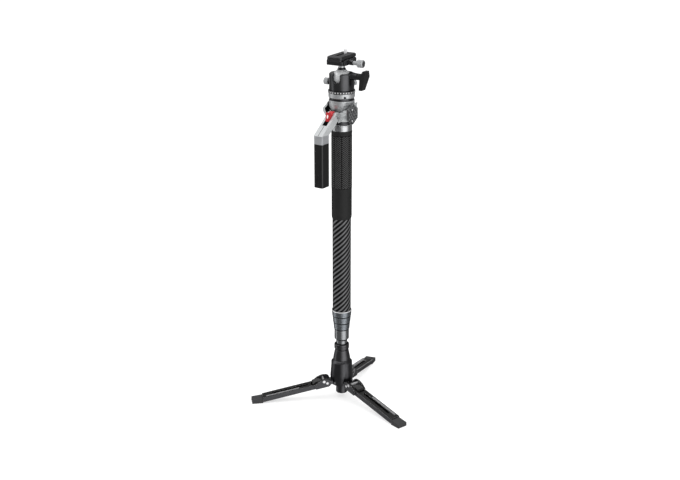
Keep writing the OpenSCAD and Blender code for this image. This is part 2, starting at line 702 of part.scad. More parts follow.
module half_bowl() color("silver") on_column() {
  difference() {
    translate([0, 0, bowl_z]) sphere(r = bowl_r);
    translate([-50, -50, bowl_z + 0.6]) cube([100, 100, 60]);
    translate([0, 0, bowl_z - 30]) cylinder(r = 9, h = 24);
  }
  translate([0, 0, bowl_z]) cylinder(r = bowl_neck_r, h = bowl_neck_h);
  translate([0, 0, plate_z - seat_ring_h - over]) cylinder(r = seat_ring_r, h = seat_ring_h + over);
  translate([0, 0, plate_z - over]) cylinder(r = bowl_stud_r, h = 7 + over);
}

module pan_plate() color("silver") at_head() difference() {
  union() {
    rotate_extrude() polygon([[0, plate_z], [pan_plate_r - 0.8, plate_z], [pan_plate_r, plate_z + 1],
      [pan_plate_r, index_z - 0.8], [pan_plate_r - 0.5, index_z], [0, index_z]]);
    translate([0, 0, index_z - over]) cylinder(r = pan_pivot_r, h = index_h + pivot_h + over);
  }
  translate([0, 0, plate_z - over]) cylinder(r = bowl_stud_r, h = 7 + over);
  toward(43) bar_x(2, 15, 30, plate_z + 2.9);
}

module index_ring() color("black") at_head() ring(index_r, pan_pivot_r, index_z, index_z + index_h);

// Ball head

module drop_notch() {
  translate([0, -notch_half, ball_z]) cube([40, 2 * notch_half, 40]);
  bar_x(notch_half, 0, 40, ball_z);
}

module head_body() color("black") at_head() difference() {
  union() {
    rotate_extrude() polygon([[0, head_z], [head_r - 0.4, head_z], [head_r, head_z + 1], [head_r, head_top - 1.6],
      [head_r - 1.6, head_top], [0, head_top]]);
    translate([0, lock_boss_in, lever_z]) rotate([-90, 0, 0])
      cylinder(r1 = lock_boss_r, r2 = lock_neck_r, h = lock_boss_end - lock_boss_in);
    bar_y(5, 0, friction_z, -head_r - 3.6, 0);
  }
  translate([0, 0, head_z - over]) cylinder(r = head_bore_r, h = cup_top - head_z + over);
  translate([0, 0, ball_z]) sphere(r = socket_r);
  drop_notch();
  bar_y(lock_screw_r + turn, 0, lever_z, 10, lock_boss_end + over);
  bar_y(2.5 + turn, 0, friction_z, -head_r - 5, -head_bore_r - gap);
  toward(150) bar_x(2 + turn, head_bore_r + gap, head_r + over, pan_knob_z);
}

module head_cup() color("whitesmoke") at_head() difference() {
  translate([0, 0, head_z]) cylinder(r = head_bore_r, h = cup_top - head_z);
  translate([0, 0, ball_z]) sphere(r = socket_r);
  translate([0, 0, head_z - over]) cylinder(r = pan_pivot_r + turn, h = pivot_h + over);
}

// The lever's blade: its outline from the side, cut to its leaning profile from the front
module lever_blade() intersection() {
  side(lever_in, lever_out + 1) translate([0, lever_z])
    polygon([[-7.5, 12], [7.5, 12], [10, 2], [6.8, -lever_drop], [-6.8, -lever_drop], [-10, 2]]);
  translate([0, 0, lever_z]) along_x(30) polygon([[lever_in, -30], [lever_in + 1.4, -lever_drop],
    [lever_out - 6.5, -lever_drop], [lever_out + 1.5, 2], [lever_out + 1, 13], [lever_in + 9, 13], [lever_in + 4, 0]]);
}

module main_lock_lever() color("black") at_head() {
  bar_y(lock_screw_r, 0, lever_z, socket_r + 0.5, lever_in + 6);
  bar_y(lock_neck_r, 0, lever_z, lock_boss_end + gap, lever_in + 6);
  lever_blade();
}

module friction_knob() color("silver") at_head() {
  bar_y(2.5, 0, friction_z, -head_r - 6, -head_bore_r - 2 * gap);
  bar_y(friction_knob_r, 0, friction_z, -head_r - 13, -head_r - 3.9);
}

module pan_lock_knob() color("silver") at_head() toward(150) {
  bar_x(2, head_bore_r + 2 * gap, head_r + 3, pan_knob_z);
  bar_x(pan_knob_r, head_r + 1.2, head_r + 7.2, pan_knob_z);
}

module head_ball() color("silver") at_head() translate([0, 0, ball_z]) sphere(r = ball_r);

module ball_stem() color("silver") at_head() difference() {
  union() {
    rotate_extrude() polygon([[0, ball_z + 10], [flange_r, ball_z + 10], [flange_r, ball_z + socket_r - 1.6],
      [stem_r, ball_z + socket_r + 1.6], [stem_r, clamp_z - gap], [0, clamp_z - gap]]);
    translate([0, 0, clamp_z - over]) cylinder(r = stem_pivot_r, h = clamp_base_h + over - 1);
  }
  translate([0, 0, ball_z]) sphere(r = socket_r);
}

// Clamp and plate

// A jaw's section: it leans over the plate's dovetail
module jaw_outline(inner) polygon([[inner, jaw_z - over], [inner, jaw_z + 1.6], [jaw_in - 1.1, jaw_z + jaw_h],
  [clamp_half - 1.2, jaw_z + jaw_h], [clamp_half, jaw_z + jaw_h - 1.4], [clamp_half, jaw_z - over]]);

// A section in Y and Z, given a length along X, centred
module along_x(length) translate([-length / 2, 0, 0]) rotate([90, 0, 90]) linear_extrude(length) children();

module clamp_base() color("black") at_head() difference() {
  union() {
    translate([-clamp_length / 2, -clamp_half, clamp_z]) cube([clamp_length, clamp_half + jaw_split, clamp_base_h]);
    mirror([0, 1, 0]) along_x(clamp_length) jaw_outline(jaw_in);
  }
  translate([0, 0, clamp_z - over]) cylinder(r = stem_pivot_r + turn, h = clamp_base_h + over - 0.7);
  bar_y(clamp_screw_r + turn, 0, clamp_axis_z, stem_pivot_r + 1.5, clamp_half);
  for (s = [-1, 1]) bar_y(1.5 + turn, s * 15, clamp_axis_z, 7, clamp_half);
}

module clamp_jaw() color("black") at_head() difference() {
  union() {
    along_x(clamp_length - 2) {
      translate([jaw_split + gap, clamp_z + 0.4]) square([clamp_half - jaw_split - gap, clamp_base_h]);
      jaw_outline(jaw_in);
    }
    bar_y(5, 0, clamp_axis_z + 0.4, clamp_half - over, jaw_boss_end);
    for (s = [-1, 1]) bar_y(1.5, s * 15, clamp_axis_z, 8, clamp_half - over);
  }
  translate([-clamp_length, 0, jaw_z - over]) cube([2 * clamp_length, jaw_split + gap, over]);
  bar_y(clamp_screw_r + turn, 0, clamp_axis_z, 0, jaw_boss_end + over);
}

module clamp_knob() color("silver") at_head() {
  bar_y(clamp_screw_r, 0, clamp_axis_z, stem_pivot_r + 2, clamp_knob_in + over);
  bar_y(clamp_screw_r + 1.2, 0, clamp_axis_z, jaw_boss_end + gap, clamp_knob_in + over);
  bar_y(clamp_knob_r, 0, clamp_axis_z, clamp_knob_in, clamp_knob_out);
}

module camera_plate() color("black") at_head() difference() {
  along_x(plate_length) let (half = plate_half_w)
    polygon([[-half + 2.5, plate_low], [-half + 1, plate_low + 1.2], [-half + 2.4, plate_low + plate_step - 0.2],
      [-half + 2.4, plate_low + plate_step], [-half, plate_low + plate_step], [-half, plate_top - 0.5],
      [-half + 0.5, plate_top], [half - 0.5, plate_top], [half, plate_top - 0.5], [half, plate_low + plate_step],
      [half - 2.4, plate_low + plate_step], [half - 2.4, plate_low + plate_step - 0.2],
      [half - 1, plate_low + 1.2], [half - 2.5, plate_low]]);
  // the screw's slot and the channel for its head
  upright_bar(-21, 21, camera_screw_r + 0.25, camera_screw_r + 0.2, plate_low, plate_top + over);
  upright_bar(-24, 24, screw_head_r + 0.5, 5, plate_low - over, plate_low + screw_head_h + 0.9);
}

module camera_screw() color("silver") at_head() translate([-camera_screw_offset, 0, 0]) {
  translate([0, 0, plate_low + gap]) cylinder(r = screw_head_r, h = screw_head_h);
  translate([0, 0, plate_low + screw_head_h]) cylinder(r = camera_screw_r - 0.4, h = plate_h - screw_head_h + over);
  translate([0, 0, plate_top]) cylinder(r = camera_screw_r, h = camera_screw_h);
}

hub_shell();
hub_bottom_cap();
hub_screws();
leg_hinge_pins();
ball_cup();
base_ball();
base_spindle();
bottom_fitting();
carbon_tube(4);  // tube_4
guide_bush(4);  // guide_bush_4
lock_sleeve();
sleeve_ring();
carbon_tube(3);  // tube_3
union() { guide_bush(3); lock_collet(3); }  // tube_3_bushes
lock_ring(3);  // lock_ring_3
carbon_tube(2);  // tube_2
union() { guide_bush(2); lock_collet(2); }  // tube_2_bushes
lock_ring(2);  // lock_ring_2
carbon_tube(1);  // tube_1
lock_collet(1);  // lock_collet_1
lock_ring(1);  // lock_ring_1
column_grip();
top_collar();
head_plug();
bowl_fork();
handle_pin();
fork_knob();
strap_eye();
handle_frame();
handle_block();
handle_grip();
trigger();
bowl_liner();
half_bowl();
pan_plate();
index_ring();
head_body();
head_cup();
main_lock_lever();
pan_lock_knob();
friction_knob();
head_ball();
ball_stem();
clamp_base();
clamp_jaw();
clamp_knob();
camera_plate();
camera_screw();
leg_channel(1);  // leg_channel_1
leg_channel(2);  // leg_channel_2
leg_channel(3);  // leg_channel_3
foot_cap(1);  // foot_cap_1
foot_cap(2);  // foot_cap_2
foot_cap(3);  // foot_cap_3
leg_rods(1);  // leg_rods_1
leg_rods(2);  // leg_rods_2
leg_rods(3);  // leg_rods_3
leg_tab(1);  // leg_tab_1
leg_tab(2);  // leg_tab_2
leg_tab(3);  // leg_tab_3
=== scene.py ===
import json
import math
import bmesh
import bpy
import numpy as np
from mathutils import Matrix, Vector


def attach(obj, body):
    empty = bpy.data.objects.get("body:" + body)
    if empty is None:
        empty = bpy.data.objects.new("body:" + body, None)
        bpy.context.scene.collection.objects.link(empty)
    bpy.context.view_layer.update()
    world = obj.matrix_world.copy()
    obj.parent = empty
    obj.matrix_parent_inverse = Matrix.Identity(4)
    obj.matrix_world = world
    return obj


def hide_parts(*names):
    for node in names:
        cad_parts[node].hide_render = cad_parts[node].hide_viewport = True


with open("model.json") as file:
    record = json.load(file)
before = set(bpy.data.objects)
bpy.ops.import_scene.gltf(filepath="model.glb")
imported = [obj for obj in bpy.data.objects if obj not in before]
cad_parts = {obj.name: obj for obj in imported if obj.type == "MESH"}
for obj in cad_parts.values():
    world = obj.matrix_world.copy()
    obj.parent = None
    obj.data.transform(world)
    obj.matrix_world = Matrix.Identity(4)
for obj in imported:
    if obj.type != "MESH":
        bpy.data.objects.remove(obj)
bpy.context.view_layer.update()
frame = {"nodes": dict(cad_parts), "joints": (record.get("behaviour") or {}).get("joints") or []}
nodes = frame["nodes"]
jointAt = {j["name"]: Vector(j["pos_m"]) * 1000 for j in frame["joints"] if "pos_m" in j}
columnAt = (jointAt["column_turn"].x, jointAt["column_turn"].y)  # mm, as every size below
print("frame loaded:", len(nodes), "nodes, column at", [round(v, 2) for v in columnAt])

# Placing

def turnedTo(azimuth, at=(0, 0, 0)):
    # a frame on the column axis: first axis along the azimuth, third one up, shifted by at within it
    spin = Matrix.Rotation(math.radians(azimuth), 4, "Z")
    return Matrix.Translation((*columnAt, 0)) @ spin @ Matrix.Translation(at)


def alongAxis(azimuth, at):
    # a frame whose third axis points outwards along the azimuth from the point at
    return turnedTo(azimuth, at) @ Matrix.Rotation(math.radians(90), 4, "Y")


onColumn = turnedTo(0)
handleTurn = 235  # degrees from the first axis to the way that the handle points
handleFrame = turnedTo(handleTurn)
headFrame = turnedTo(240)
legBase = dict(angles=(189.8, 309.8, 69.8), reach=31.4, slope=10.7)
hingeZ = jointAt["leg_1_fold"].z


def legFrame(i):
    # first axis out along leg i from its hinge pin, third one square to its deck
    hinge = turnedTo(legBase["angles"][i - 1], (legBase["reach"], 0, hingeZ))
    return hinge @ Matrix.Rotation(math.radians(legBase["slope"]), 4, "Y")


def placed(points, matrix):
    # points in mm within the frame of matrix, as metres in the model's frame
    m = np.array(matrix)
    flat = np.asarray(points, float).reshape(-1, 3)
    return (flat @ m[:3, :3].T + m[:3, 3]) * 0.001

# Mesh building

def meshFrom(name, points, faces, smoothAngle=35):
    # an object of points in metres and faces, shaded smooth but for edges sharper than the angle
    mesh = bpy.data.meshes.new(name)
    mesh.from_pydata([tuple(p) for p in points], [], faces)
    mesh.validate()
    mesh.shade_smooth()
    mesh.set_sharp_from_angle(angle=math.radians(smoothAngle))
    piece = bpy.data.objects.new(name, mesh)
    bpy.context.scene.collection.objects.link(piece)
    return piece


def gridFaces(rows, columns, wrapColumns, wrapRows=False):
    # quads of a grid of points, row by row; either direction may close on itself
    r = np.arange(rows if wrapRows else rows - 1)
    c = np.arange(columns if wrapColumns else columns - 1)
    rr, cc = np.meshgrid(r, c, indexing="ij")
    up, over = (rr + 1) % rows, (cc + 1) % columns
    quads = np.stack([rr * columns + cc, rr * columns + over, up * columns + over, up * columns + cc], -1)
    return quads.reshape(-1, 4).tolist()


def turnedMesh(name, radius, height, matrix, closedProfile=False, smoothAngle=35):
    # radius and height are arrays (rows, steps): each row goes once round the axis; open ends on
    # the axis get a cap
    rows, steps = radius.shape
    angle = np.linspace(0, 2 * math.pi, steps, endpoint=False)
    points = np.stack([radius * np.cos(angle), radius * np.sin(angle), height], -1).reshape(-1, 3)
    faces = gridFaces(rows, steps, True, closedProfile)
    if not closedProfile:
        points = np.vstack([points, [[0, 0, height[0].mean()], [0, 0, height[-1].mean()]]])
        low, high = rows * steps, rows * steps + 1
        k = np.arange(steps)
        faces += np.stack([np.full(steps, low), (k + 1) % steps, k], -1).tolist()
        last = (rows - 1) * steps
        faces += np.stack([np.full(steps, high), last + k, last + (k + 1) % steps], -1).tolist()
    return meshFrom(name, placed(points, matrix), faces, smoothAngle)


def rounded(profile, closed=False, steps=4):
    # corners (r, z, fillet) of a profile become arcs: points at the tangent lengths, blended by a
    # quadratic curve
    pts = [tuple(p) + (0,) * (3 - len(p)) for p in profile]
    n = len(pts)
    out = []
    for i, (r, z, fillet) in enumerate(pts):
        if fillet <= 0 or (not closed and i in (0, n - 1)):
            out.append((r, z))
            continue
        here = np.array([r, z])
        back = np.array(pts[i - 1][:2]) - here
        ahead = np.array(pts[(i + 1) % n][:2]) - here
        cut = min(fillet, np.linalg.norm(back) * 0.49, np.linalg.norm(ahead) * 0.49)
        a = here + back / np.linalg.norm(back) * cut
        b = here + ahead / np.linalg.norm(ahead) * cut
        for t in np.linspace(0, 1, steps + 1):
            out.append(tuple((1 - t) ** 2 * a + 2 * t * (1 - t) * here + t * t * b))
    return np.array(out)


def turned(name, profile, matrix=onColumn, closed=False, steps=128):
    # a turned part: the rounded profile swept round the axis, every row a plain circle
    path = rounded(profile, closed)
    if closed:  # a ring's profile runs anticlockwise in (r, z) so that its faces point outwards
        area = np.sum(path[:, 0] * np.roll(path[:, 1], -1) - np.roll(path[:, 0], -1) * path[:, 1])
        path = path if area > 0 else path[::-1]
    radius = np.repeat(path[:, :1], steps, 1)
    height = np.repeat(path[:, 1:], steps, 1)
    return turnedMesh(name, radius, height, matrix, closed)


def knurled(name, profile, matrix, ridges, depth, zone, steps=6):
    # as turned, but the radius between the zone's heights drops by depth times a ridge wave of the angle
    path = rounded(profile)
    around = ridges * steps
    lift = np.linspace(zone[0], zone[1], 3)
    barrel = np.full(len(lift), path[:, 0].max())
    below, above = path[path[:, 1] < zone[0] - 1e-6], path[path[:, 1] > zone[1] + 1e-6]
    path = np.vstack([below, np.stack([barrel, lift], 1), above])
    angle = np.linspace(0, 2 * math.pi, around, endpoint=False)[None, :]
    inZone = ((path[:, 1] >= zone[0] - 1e-6) & (path[:, 1] <= zone[1] + 1e-6))[:, None]
    wave = 0.5 + 0.5 * np.cos(ridges * angle)
    radius = path[:, :1] - np.where(inZone, depth * (1 - wave), 0)
    return turnedMesh(name, radius, np.repeat(path[:, 1:], around, 1), matrix, smoothAngle=30)


def extruded(name, outline, low, high, matrix, edge=0.4, segments=2):
    # a flat outline (x, y) in the frame's first two axes, carried from low to high, with its edges rounded
    ring = np.asarray(outline, float)
    area = np.sum(ring[:, 0] * np.roll(ring[:, 1], -1) - np.roll(ring[:, 0], -1) * ring[:, 1])
    ring = ring if area > 0 else ring[::-1]
    n = len(ring)
    points = np.vstack([np.c_[ring, np.full(n, low)], np.c_[ring, np.full(n, high)]])
    faces = [[(i + 1) % n, i, i + n, (i + 1) % n + n][::-1] for i in range(n)]
    faces += [list(range(n))[::-1], list(range(n, 2 * n))]
    piece = meshFrom(name, placed(points, matrix), faces)
    if edge:
        bevel(piece, edge, segments)
    return piece


def bevel(piece, width, segments=2, angle=32, edgeSlot=None):
    # rounds the edges sharper than the angle by a width in mm, and may give them a material slot
    m = piece.modifiers.new("roundedEdges", "BEVEL")
    m.width = width * 0.001
    m.segments = segments
    m.limit_method = "ANGLE"
    m.angle_limit = math.radians(angle)
    m.harden_normals = True
    m.miter_outer = "MITER_ARC"
    if edgeSlot is not None:
        m.material = edgeSlot
    return m


def sideways(azimuth, at=(0, 0, 0)):
    # a frame for side outlines: first axis along the azimuth, second one up, third one to the
    # azimuth plus 270
    return turnedTo(azimuth, at) @ Matrix.Rotation(math.radians(90), 4, "X")


def softened(node, name, width=0.35, segments=2, angle=32, edgeSlot=None):
    # the CAD node's own shape, welded and with its flat faces joined, and its edges rounded
    mesh = nodes[node].data.copy()
    mesh.name = name
    bm = bmesh.new()
    bm.from_mesh(mesh)
    bmesh.ops.remove_doubles(bm, verts=bm.verts, dist=2e-6)
    bmesh.ops.dissolve_limit(bm, angle_limit=math.radians(0.6), verts=bm.verts, edges=bm.edges)
    bm.to_mesh(mesh)
    bm.free()
    for extra in [a.name for a in mesh.attributes if a.name == "custom_normal"]:
        mesh.attributes.remove(mesh.attributes[extra])
    mesh.materials.clear()
    mesh.shade_smooth()
    mesh.set_sharp_from_angle(angle=math.radians(angle))
    piece = bpy.data.objects.new(name, mesh)
    bpy.context.scene.collection.objects.link(piece)
    if width:
        bevel(piece, width, segments, angle, edgeSlot)
    return piece


def finished(piece, body, slot, *materials, replaces=()):
    # gives a piece its materials and its body, and hides the CAD nodes that it stands for
    for m in materials:
        piece.data.materials.append(m)
    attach(piece, body)
    if replaces:
        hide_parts(*((replaces,) if isinstance(replaces, str) else replaces))
    return piece


def painted(piece, slot, frameMatrix, test):
    # gives the faces that pass the test (on centres in mm and normals within the frame) another
    # material slot
    mesh = piece.data
    n = len(mesh.polygons)
    centres, normals = np.empty(n * 3), np.empty(n * 3)
    mesh.polygons.foreach_get("center", centres)
    mesh.polygons.foreach_get("normal", normals)
    back = np.linalg.inv(np.array(frameMatrix))
    c = (centres.reshape(-1, 3) * 1000) @ back[:3, :3].T + back[:3, 3]
    k = normals.reshape(-1, 3) @ back[:3, :3].T
    index = np.empty(n, dtype=np.int32)
    mesh.polygons.foreach_get("material_index", index)
    index[test(c, k)] = slot
    mesh.polygons.foreach_set("material_index", index)
    return piece


def fromAxis(c):
    # how far points lie from the third axis of their frame
    return np.hypot(c[:, 0], c[:, 1])

# Shader groups

def socketGroup(name, inputs, outputs):
    # an empty shader group with inputs of (label, default) and outputs of (label, socket type)
    tree = bpy.data.node_groups.new(name, "ShaderNodeTree")
    for label, default in inputs:
        s = tree.interface.new_socket(name=label, in_out="INPUT", socket_type="NodeSocketFloat")
        s.default_value = default
    for label, kind in outputs:
        tree.interface.new_socket(name=label, in_out="OUTPUT", socket_type=kind)
    return tree, tree.nodes.new("NodeGroupInput"), tree.nodes.new("NodeGroupOutput")


def mathNode(tree, operation, a, b=None, c=None):
    # the output of a Math node whose inputs are numbers or other nodes' outputs
    n = tree.nodes.new("ShaderNodeMath")
    n.operation = operation
    for i, v in enumerate((a, b, c)):
        if v is None:
            continue
        if isinstance(v, (int, float)):
            n.inputs[i].default_value = v
        else:
            tree.links.new(v, n.inputs[i])
    return n.outputs[0]


def objectPoint(tree):
    # x, y and z of the point in mm, counted from the column axis
    coords = tree.nodes.new("ShaderNodeTexCoord")
    mapping = tree.nodes.new("ShaderNodeMapping")
    mapping.inputs["Scale"].default_value = (1000, 1000, 1000)
    mapping.inputs["Location"].default_value = (-columnAt[0], -columnAt[1], 0)
    tree.links.new(coords.outputs["Object"], mapping.inputs["Vector"])
    split = tree.nodes.new("ShaderNodeSeparateXYZ")
    tree.links.new(mapping.outputs["Vector"], split.inputs[0])
    return mapping.outputs["Vector"], split.outputs


def smoothStep(tree, value, low, high):
    # 0 below low, 1 above high, and a smooth step between
    n = tree.nodes.new("ShaderNodeMapRange")
    n.interpolation_type = "SMOOTHSTEP"
    n.inputs["From Min"].default_value = low
    n.inputs["From Max"].default_value = high
    tree.links.new(value, n.inputs["Value"])
    return n.outputs["Result"]


def makeFineGrain():
    # two sizes of noise: a mask for colour and roughness, a height for a bump
    tree, given, out = socketGroup("fineGrain", [("Size", 0.6), ("Patch", 9.0)],
                                   [("Mask", "NodeSocketFloat"), ("Height", "NodeSocketFloat")])
    point, _ = objectPoint(tree)
    small = tree.nodes.new("ShaderNodeTexNoise")
    large = tree.nodes.new("ShaderNodeTexNoise")
    small.inputs["Detail"].default_value = 3
    large.inputs["Detail"].default_value = 4
    tree.links.new(point, small.inputs["Vector"])
    tree.links.new(point, large.inputs["Vector"])
    tree.links.new(mathNode(tree, "DIVIDE", 1.0, given.outputs["Size"]), small.inputs["Scale"])
    tree.links.new(mathNode(tree, "DIVIDE", 1.0, given.outputs["Patch"]), large.inputs["Scale"])
    mixed = mathNode(tree, "MULTIPLY_ADD", small.outputs["Fac"], 0.35,
                     mathNode(tree, "MULTIPLY", large.outputs["Fac"], 0.65))
    tree.links.new(mixed, out.inputs["Mask"])
    tree.links.new(small.outputs["Fac"], out.inputs["Height"])
    return tree


def makeTurningMarks():
    # fine rings left by a lathe round the column axis: noise that only changes with the height
    tree, given, out = socketGroup("turningMarks", [("Pitch", 0.35)],
                                   [("Mask", "NodeSocketFloat"), ("Height", "NodeSocketFloat")])
    _, xyz = objectPoint(tree)
    join = tree.nodes.new("ShaderNodeCombineXYZ")
    tree.links.new(mathNode(tree, "DIVIDE", xyz[2], given.outputs["Pitch"]), join.inputs["Z"])
    noise = tree.nodes.new("ShaderNodeTexNoise")
    noise.inputs["Scale"].default_value = 1
    noise.inputs["Detail"].default_value = 2
    tree.links.new(join.outputs[0], noise.inputs["Vector"])
    tree.links.new(noise.outputs["Fac"], out.inputs["Mask"])
    tree.links.new(noise.outputs["Fac"], out.inputs["Height"])
    return tree


def makeTwill():
    # tows of a 2 by 2 twill wound round the column: steps of the angle against steps of the height
    # give the diagonal stripes, and a sine of the angle makes them lean more on one side
    tree, given, out = socketGroup("carbonTwill", [("Pitch", 9.6)],
                                   [("Warp", "NodeSocketFloat"), ("Seam", "NodeSocketFloat"),
                                    ("Height", "NodeSocketFloat"), ("Fibre", "NodeSocketFloat")])
    _, xyz = objectPoint(tree)
    angle = mathNode(tree, "ARCTAN2", xyz[1], xyz[0])
    pitch = given.outputs["Pitch"]
    turns = mathNode(tree, "DIVIDE", angle, 2 * math.pi)
    # eleven stripes round the tube
    lean = mathNode(tree, "MULTIPLY", mathNode(tree, "SINE", mathNode(tree, "SUBTRACT", angle, math.pi)),
                    -0.2)
    across = mathNode(tree, "ADD", mathNode(tree, "MULTIPLY", turns, 11.0), lean)
    up = mathNode(tree, "DIVIDE", xyz[2], pitch)
    cellA = mathNode(tree, "MULTIPLY", across, 4.0)
    cellB = mathNode(tree, "MULTIPLY", up, 4.0)
    step = mathNode(tree, "SUBTRACT", mathNode(tree, "FLOOR", cellB), mathNode(tree, "FLOOR", cellA))
    phase = mathNode(tree, "FLOORED_MODULO", step, 4.0)
    warp = mathNode(tree, "LESS_THAN", phase, 1.5)
    fracA = mathNode(tree, "FRACT", cellA)
    fracB = mathNode(tree, "FRACT", cellB)
    bowA = mathNode(tree, "SINE", mathNode(tree, "MULTIPLY", fracA, math.pi))
    bowB = mathNode(tree, "SINE", mathNode(tree, "MULTIPLY", fracB, math.pi))
    # the smooth diagonal that the eye sees, and how far a point is from a tow's edge
    between = mathNode(tree, "SUBTRACT", up, across)
    wave = mathNode(tree, "SINE", mathNode(tree, "MULTIPLY", between, 2 * math.pi))
    soft = smoothStep(tree, wave, -0.25, 0.75)
    warpPart = mathNode(tree, "MULTIPLY", mathNode(tree, "MULTIPLY", warp, soft), 0.3)
    warpSoft = mathNode(tree, "ADD", warpPart, mathNode(tree, "MULTIPLY", soft, 0.7))
    towEdge = mathNode(tree, "POWER", mathNode(tree, "MULTIPLY", bowA, bowB), 0.35)
    fibre = tree.nodes.new("ShaderNodeTexNoise")
    fibre.inputs["Scale"].default_value = 1
    fibre.inputs["Detail"].default_value = 2
    join = tree.nodes.new("ShaderNodeCombineXYZ")
    tree.links.new(mathNode(tree, "MULTIPLY", across, 40.0), join.inputs["X"])
    tree.links.new(mathNode(tree, "MULTIPLY", up, 3.0), join.inputs["Y"])
    tree.links.new(join.outputs[0], fibre.inputs["Vector"])
    tree.links.new(warpSoft, out.inputs["Warp"])
    tree.links.new(towEdge, out.inputs["Seam"])
    tree.links.new(mathNode(tree, "ADD", mathNode(tree, "MULTIPLY", towEdge, 0.5),
                            mathNode(tree, "MULTIPLY", warp, 0.5)), out.inputs["Height"])
    tree.links.new(fibre.outputs["Fac"], out.inputs["Fibre"])
    return tree


fineGrain = makeFineGrain()
turningMarks = makeTurningMarks()
carbonTwill = makeTwill()


def makeScaleMarks():
    # short upright dashes round the column axis: where the turn, times the count, is in the first
    # part of its cell and the height is in the band
    tree, given, out = socketGroup("scaleMarks",
                                   [("Count", 30.0), ("Low", 0.0), ("High", 1.0), ("Share", 0.42)],
                                   [("Mask", "NodeSocketFloat")])
    _, xyz = objectPoint(tree)
    turn = mathNode(tree, "DIVIDE", mathNode(tree, "ARCTAN2", xyz[1], xyz[0]), 2 * math.pi)
    cell = mathNode(tree, "FRACT", mathNode(tree, "MULTIPLY", turn, given.outputs["Count"]))
    dash = mathNode(tree, "LESS_THAN", cell, given.outputs["Share"])
    band = mathNode(tree, "MULTIPLY", mathNode(tree, "GREATER_THAN", xyz[2], given.outputs["Low"]),
                    mathNode(tree, "LESS_THAN", xyz[2], given.outputs["High"]))
    tree.links.new(mathNode(tree, "MULTIPLY", dash, band), out.inputs["Mask"])
    return tree


scaleMarks = makeScaleMarks()

# Materials

def placedGroup(tree, group, **values):
    # a shader group placed in a material with its own values
    n = tree.nodes.new("ShaderNodeGroup")
    n.node_tree = group
    for key, v in values.items():
        n.inputs[key[0].upper() + key[1:]].default_value = v
    return n


def colourMix(tree, factor, dark, light):
    # the dark colour where the factor is 0, the light one where it is 1
    n = tree.nodes.new("ShaderNodeMix")
    n.data_type = "RGBA"
    n.inputs["A"].default_value = (*dark, 1)
    n.inputs["B"].default_value = (*light, 1)
    tree.links.new(factor, n.inputs["Factor"])
    return n.outputs["Result"]


def valueRange(tree, value, low, high):
    # spreads the middle half of a noise over low to high
    n = tree.nodes.new("ShaderNodeMapRange")
    n.inputs["From Min"].default_value = 0.25
    n.inputs["From Max"].default_value = 0.75
    n.inputs["To Min"].default_value = low
    n.inputs["To Max"].default_value = high
    tree.links.new(value, n.inputs["Value"])
    return n.outputs["Result"]


def surface(name, look):
    # a finish from a dictionary: two colours mixed by the grain, a roughness range, and a bump from
    # the grain or the lathe
    m = bpy.data.materials.new(name)
    m.use_nodes = True
    tree = m.node_tree
    shader = tree.nodes["Principled BSDF"]
    shader.inputs["Metallic"].default_value = look.get("metal", 0)
    if "coat" in look:
        shader.inputs["Coat Weight"].default_value = look["coat"]
        shader.inputs["Coat Roughness"].default_value = look.get("coatRough", 0.1)
    if "specular" in look:
        shader.inputs["Specular IOR Level"].default_value = look["specular"]
    if "lathe" in look:
        grain = placedGroup(tree, turningMarks, pitch=look["lathe"])
    else:
        grain = placedGroup(tree, fineGrain, size=look.get("grain", 0.6), patch=look.get("patch", 9))
    share = valueRange(tree, grain.outputs["Mask"], 0, 1)
    tree.links.new(colourMix(tree, share, look["dark"], look["light"]), shader.inputs["Base Color"])
    tree.links.new(valueRange(tree, grain.outputs["Mask"], *look["rough"]), shader.inputs["Roughness"])
    bump = tree.nodes.new("ShaderNodeBump")
    bump.inputs["Strength"].default_value = look.get("bump", 0.1)
    bump.inputs["Distance"].default_value = look.get("depth", 0.05) * 0.001
    tree.links.new(grain.outputs["Height"], bump.inputs["Height"])
    tree.links.new(bump.outputs["Normal"], shader.inputs["Normal"])
    return m


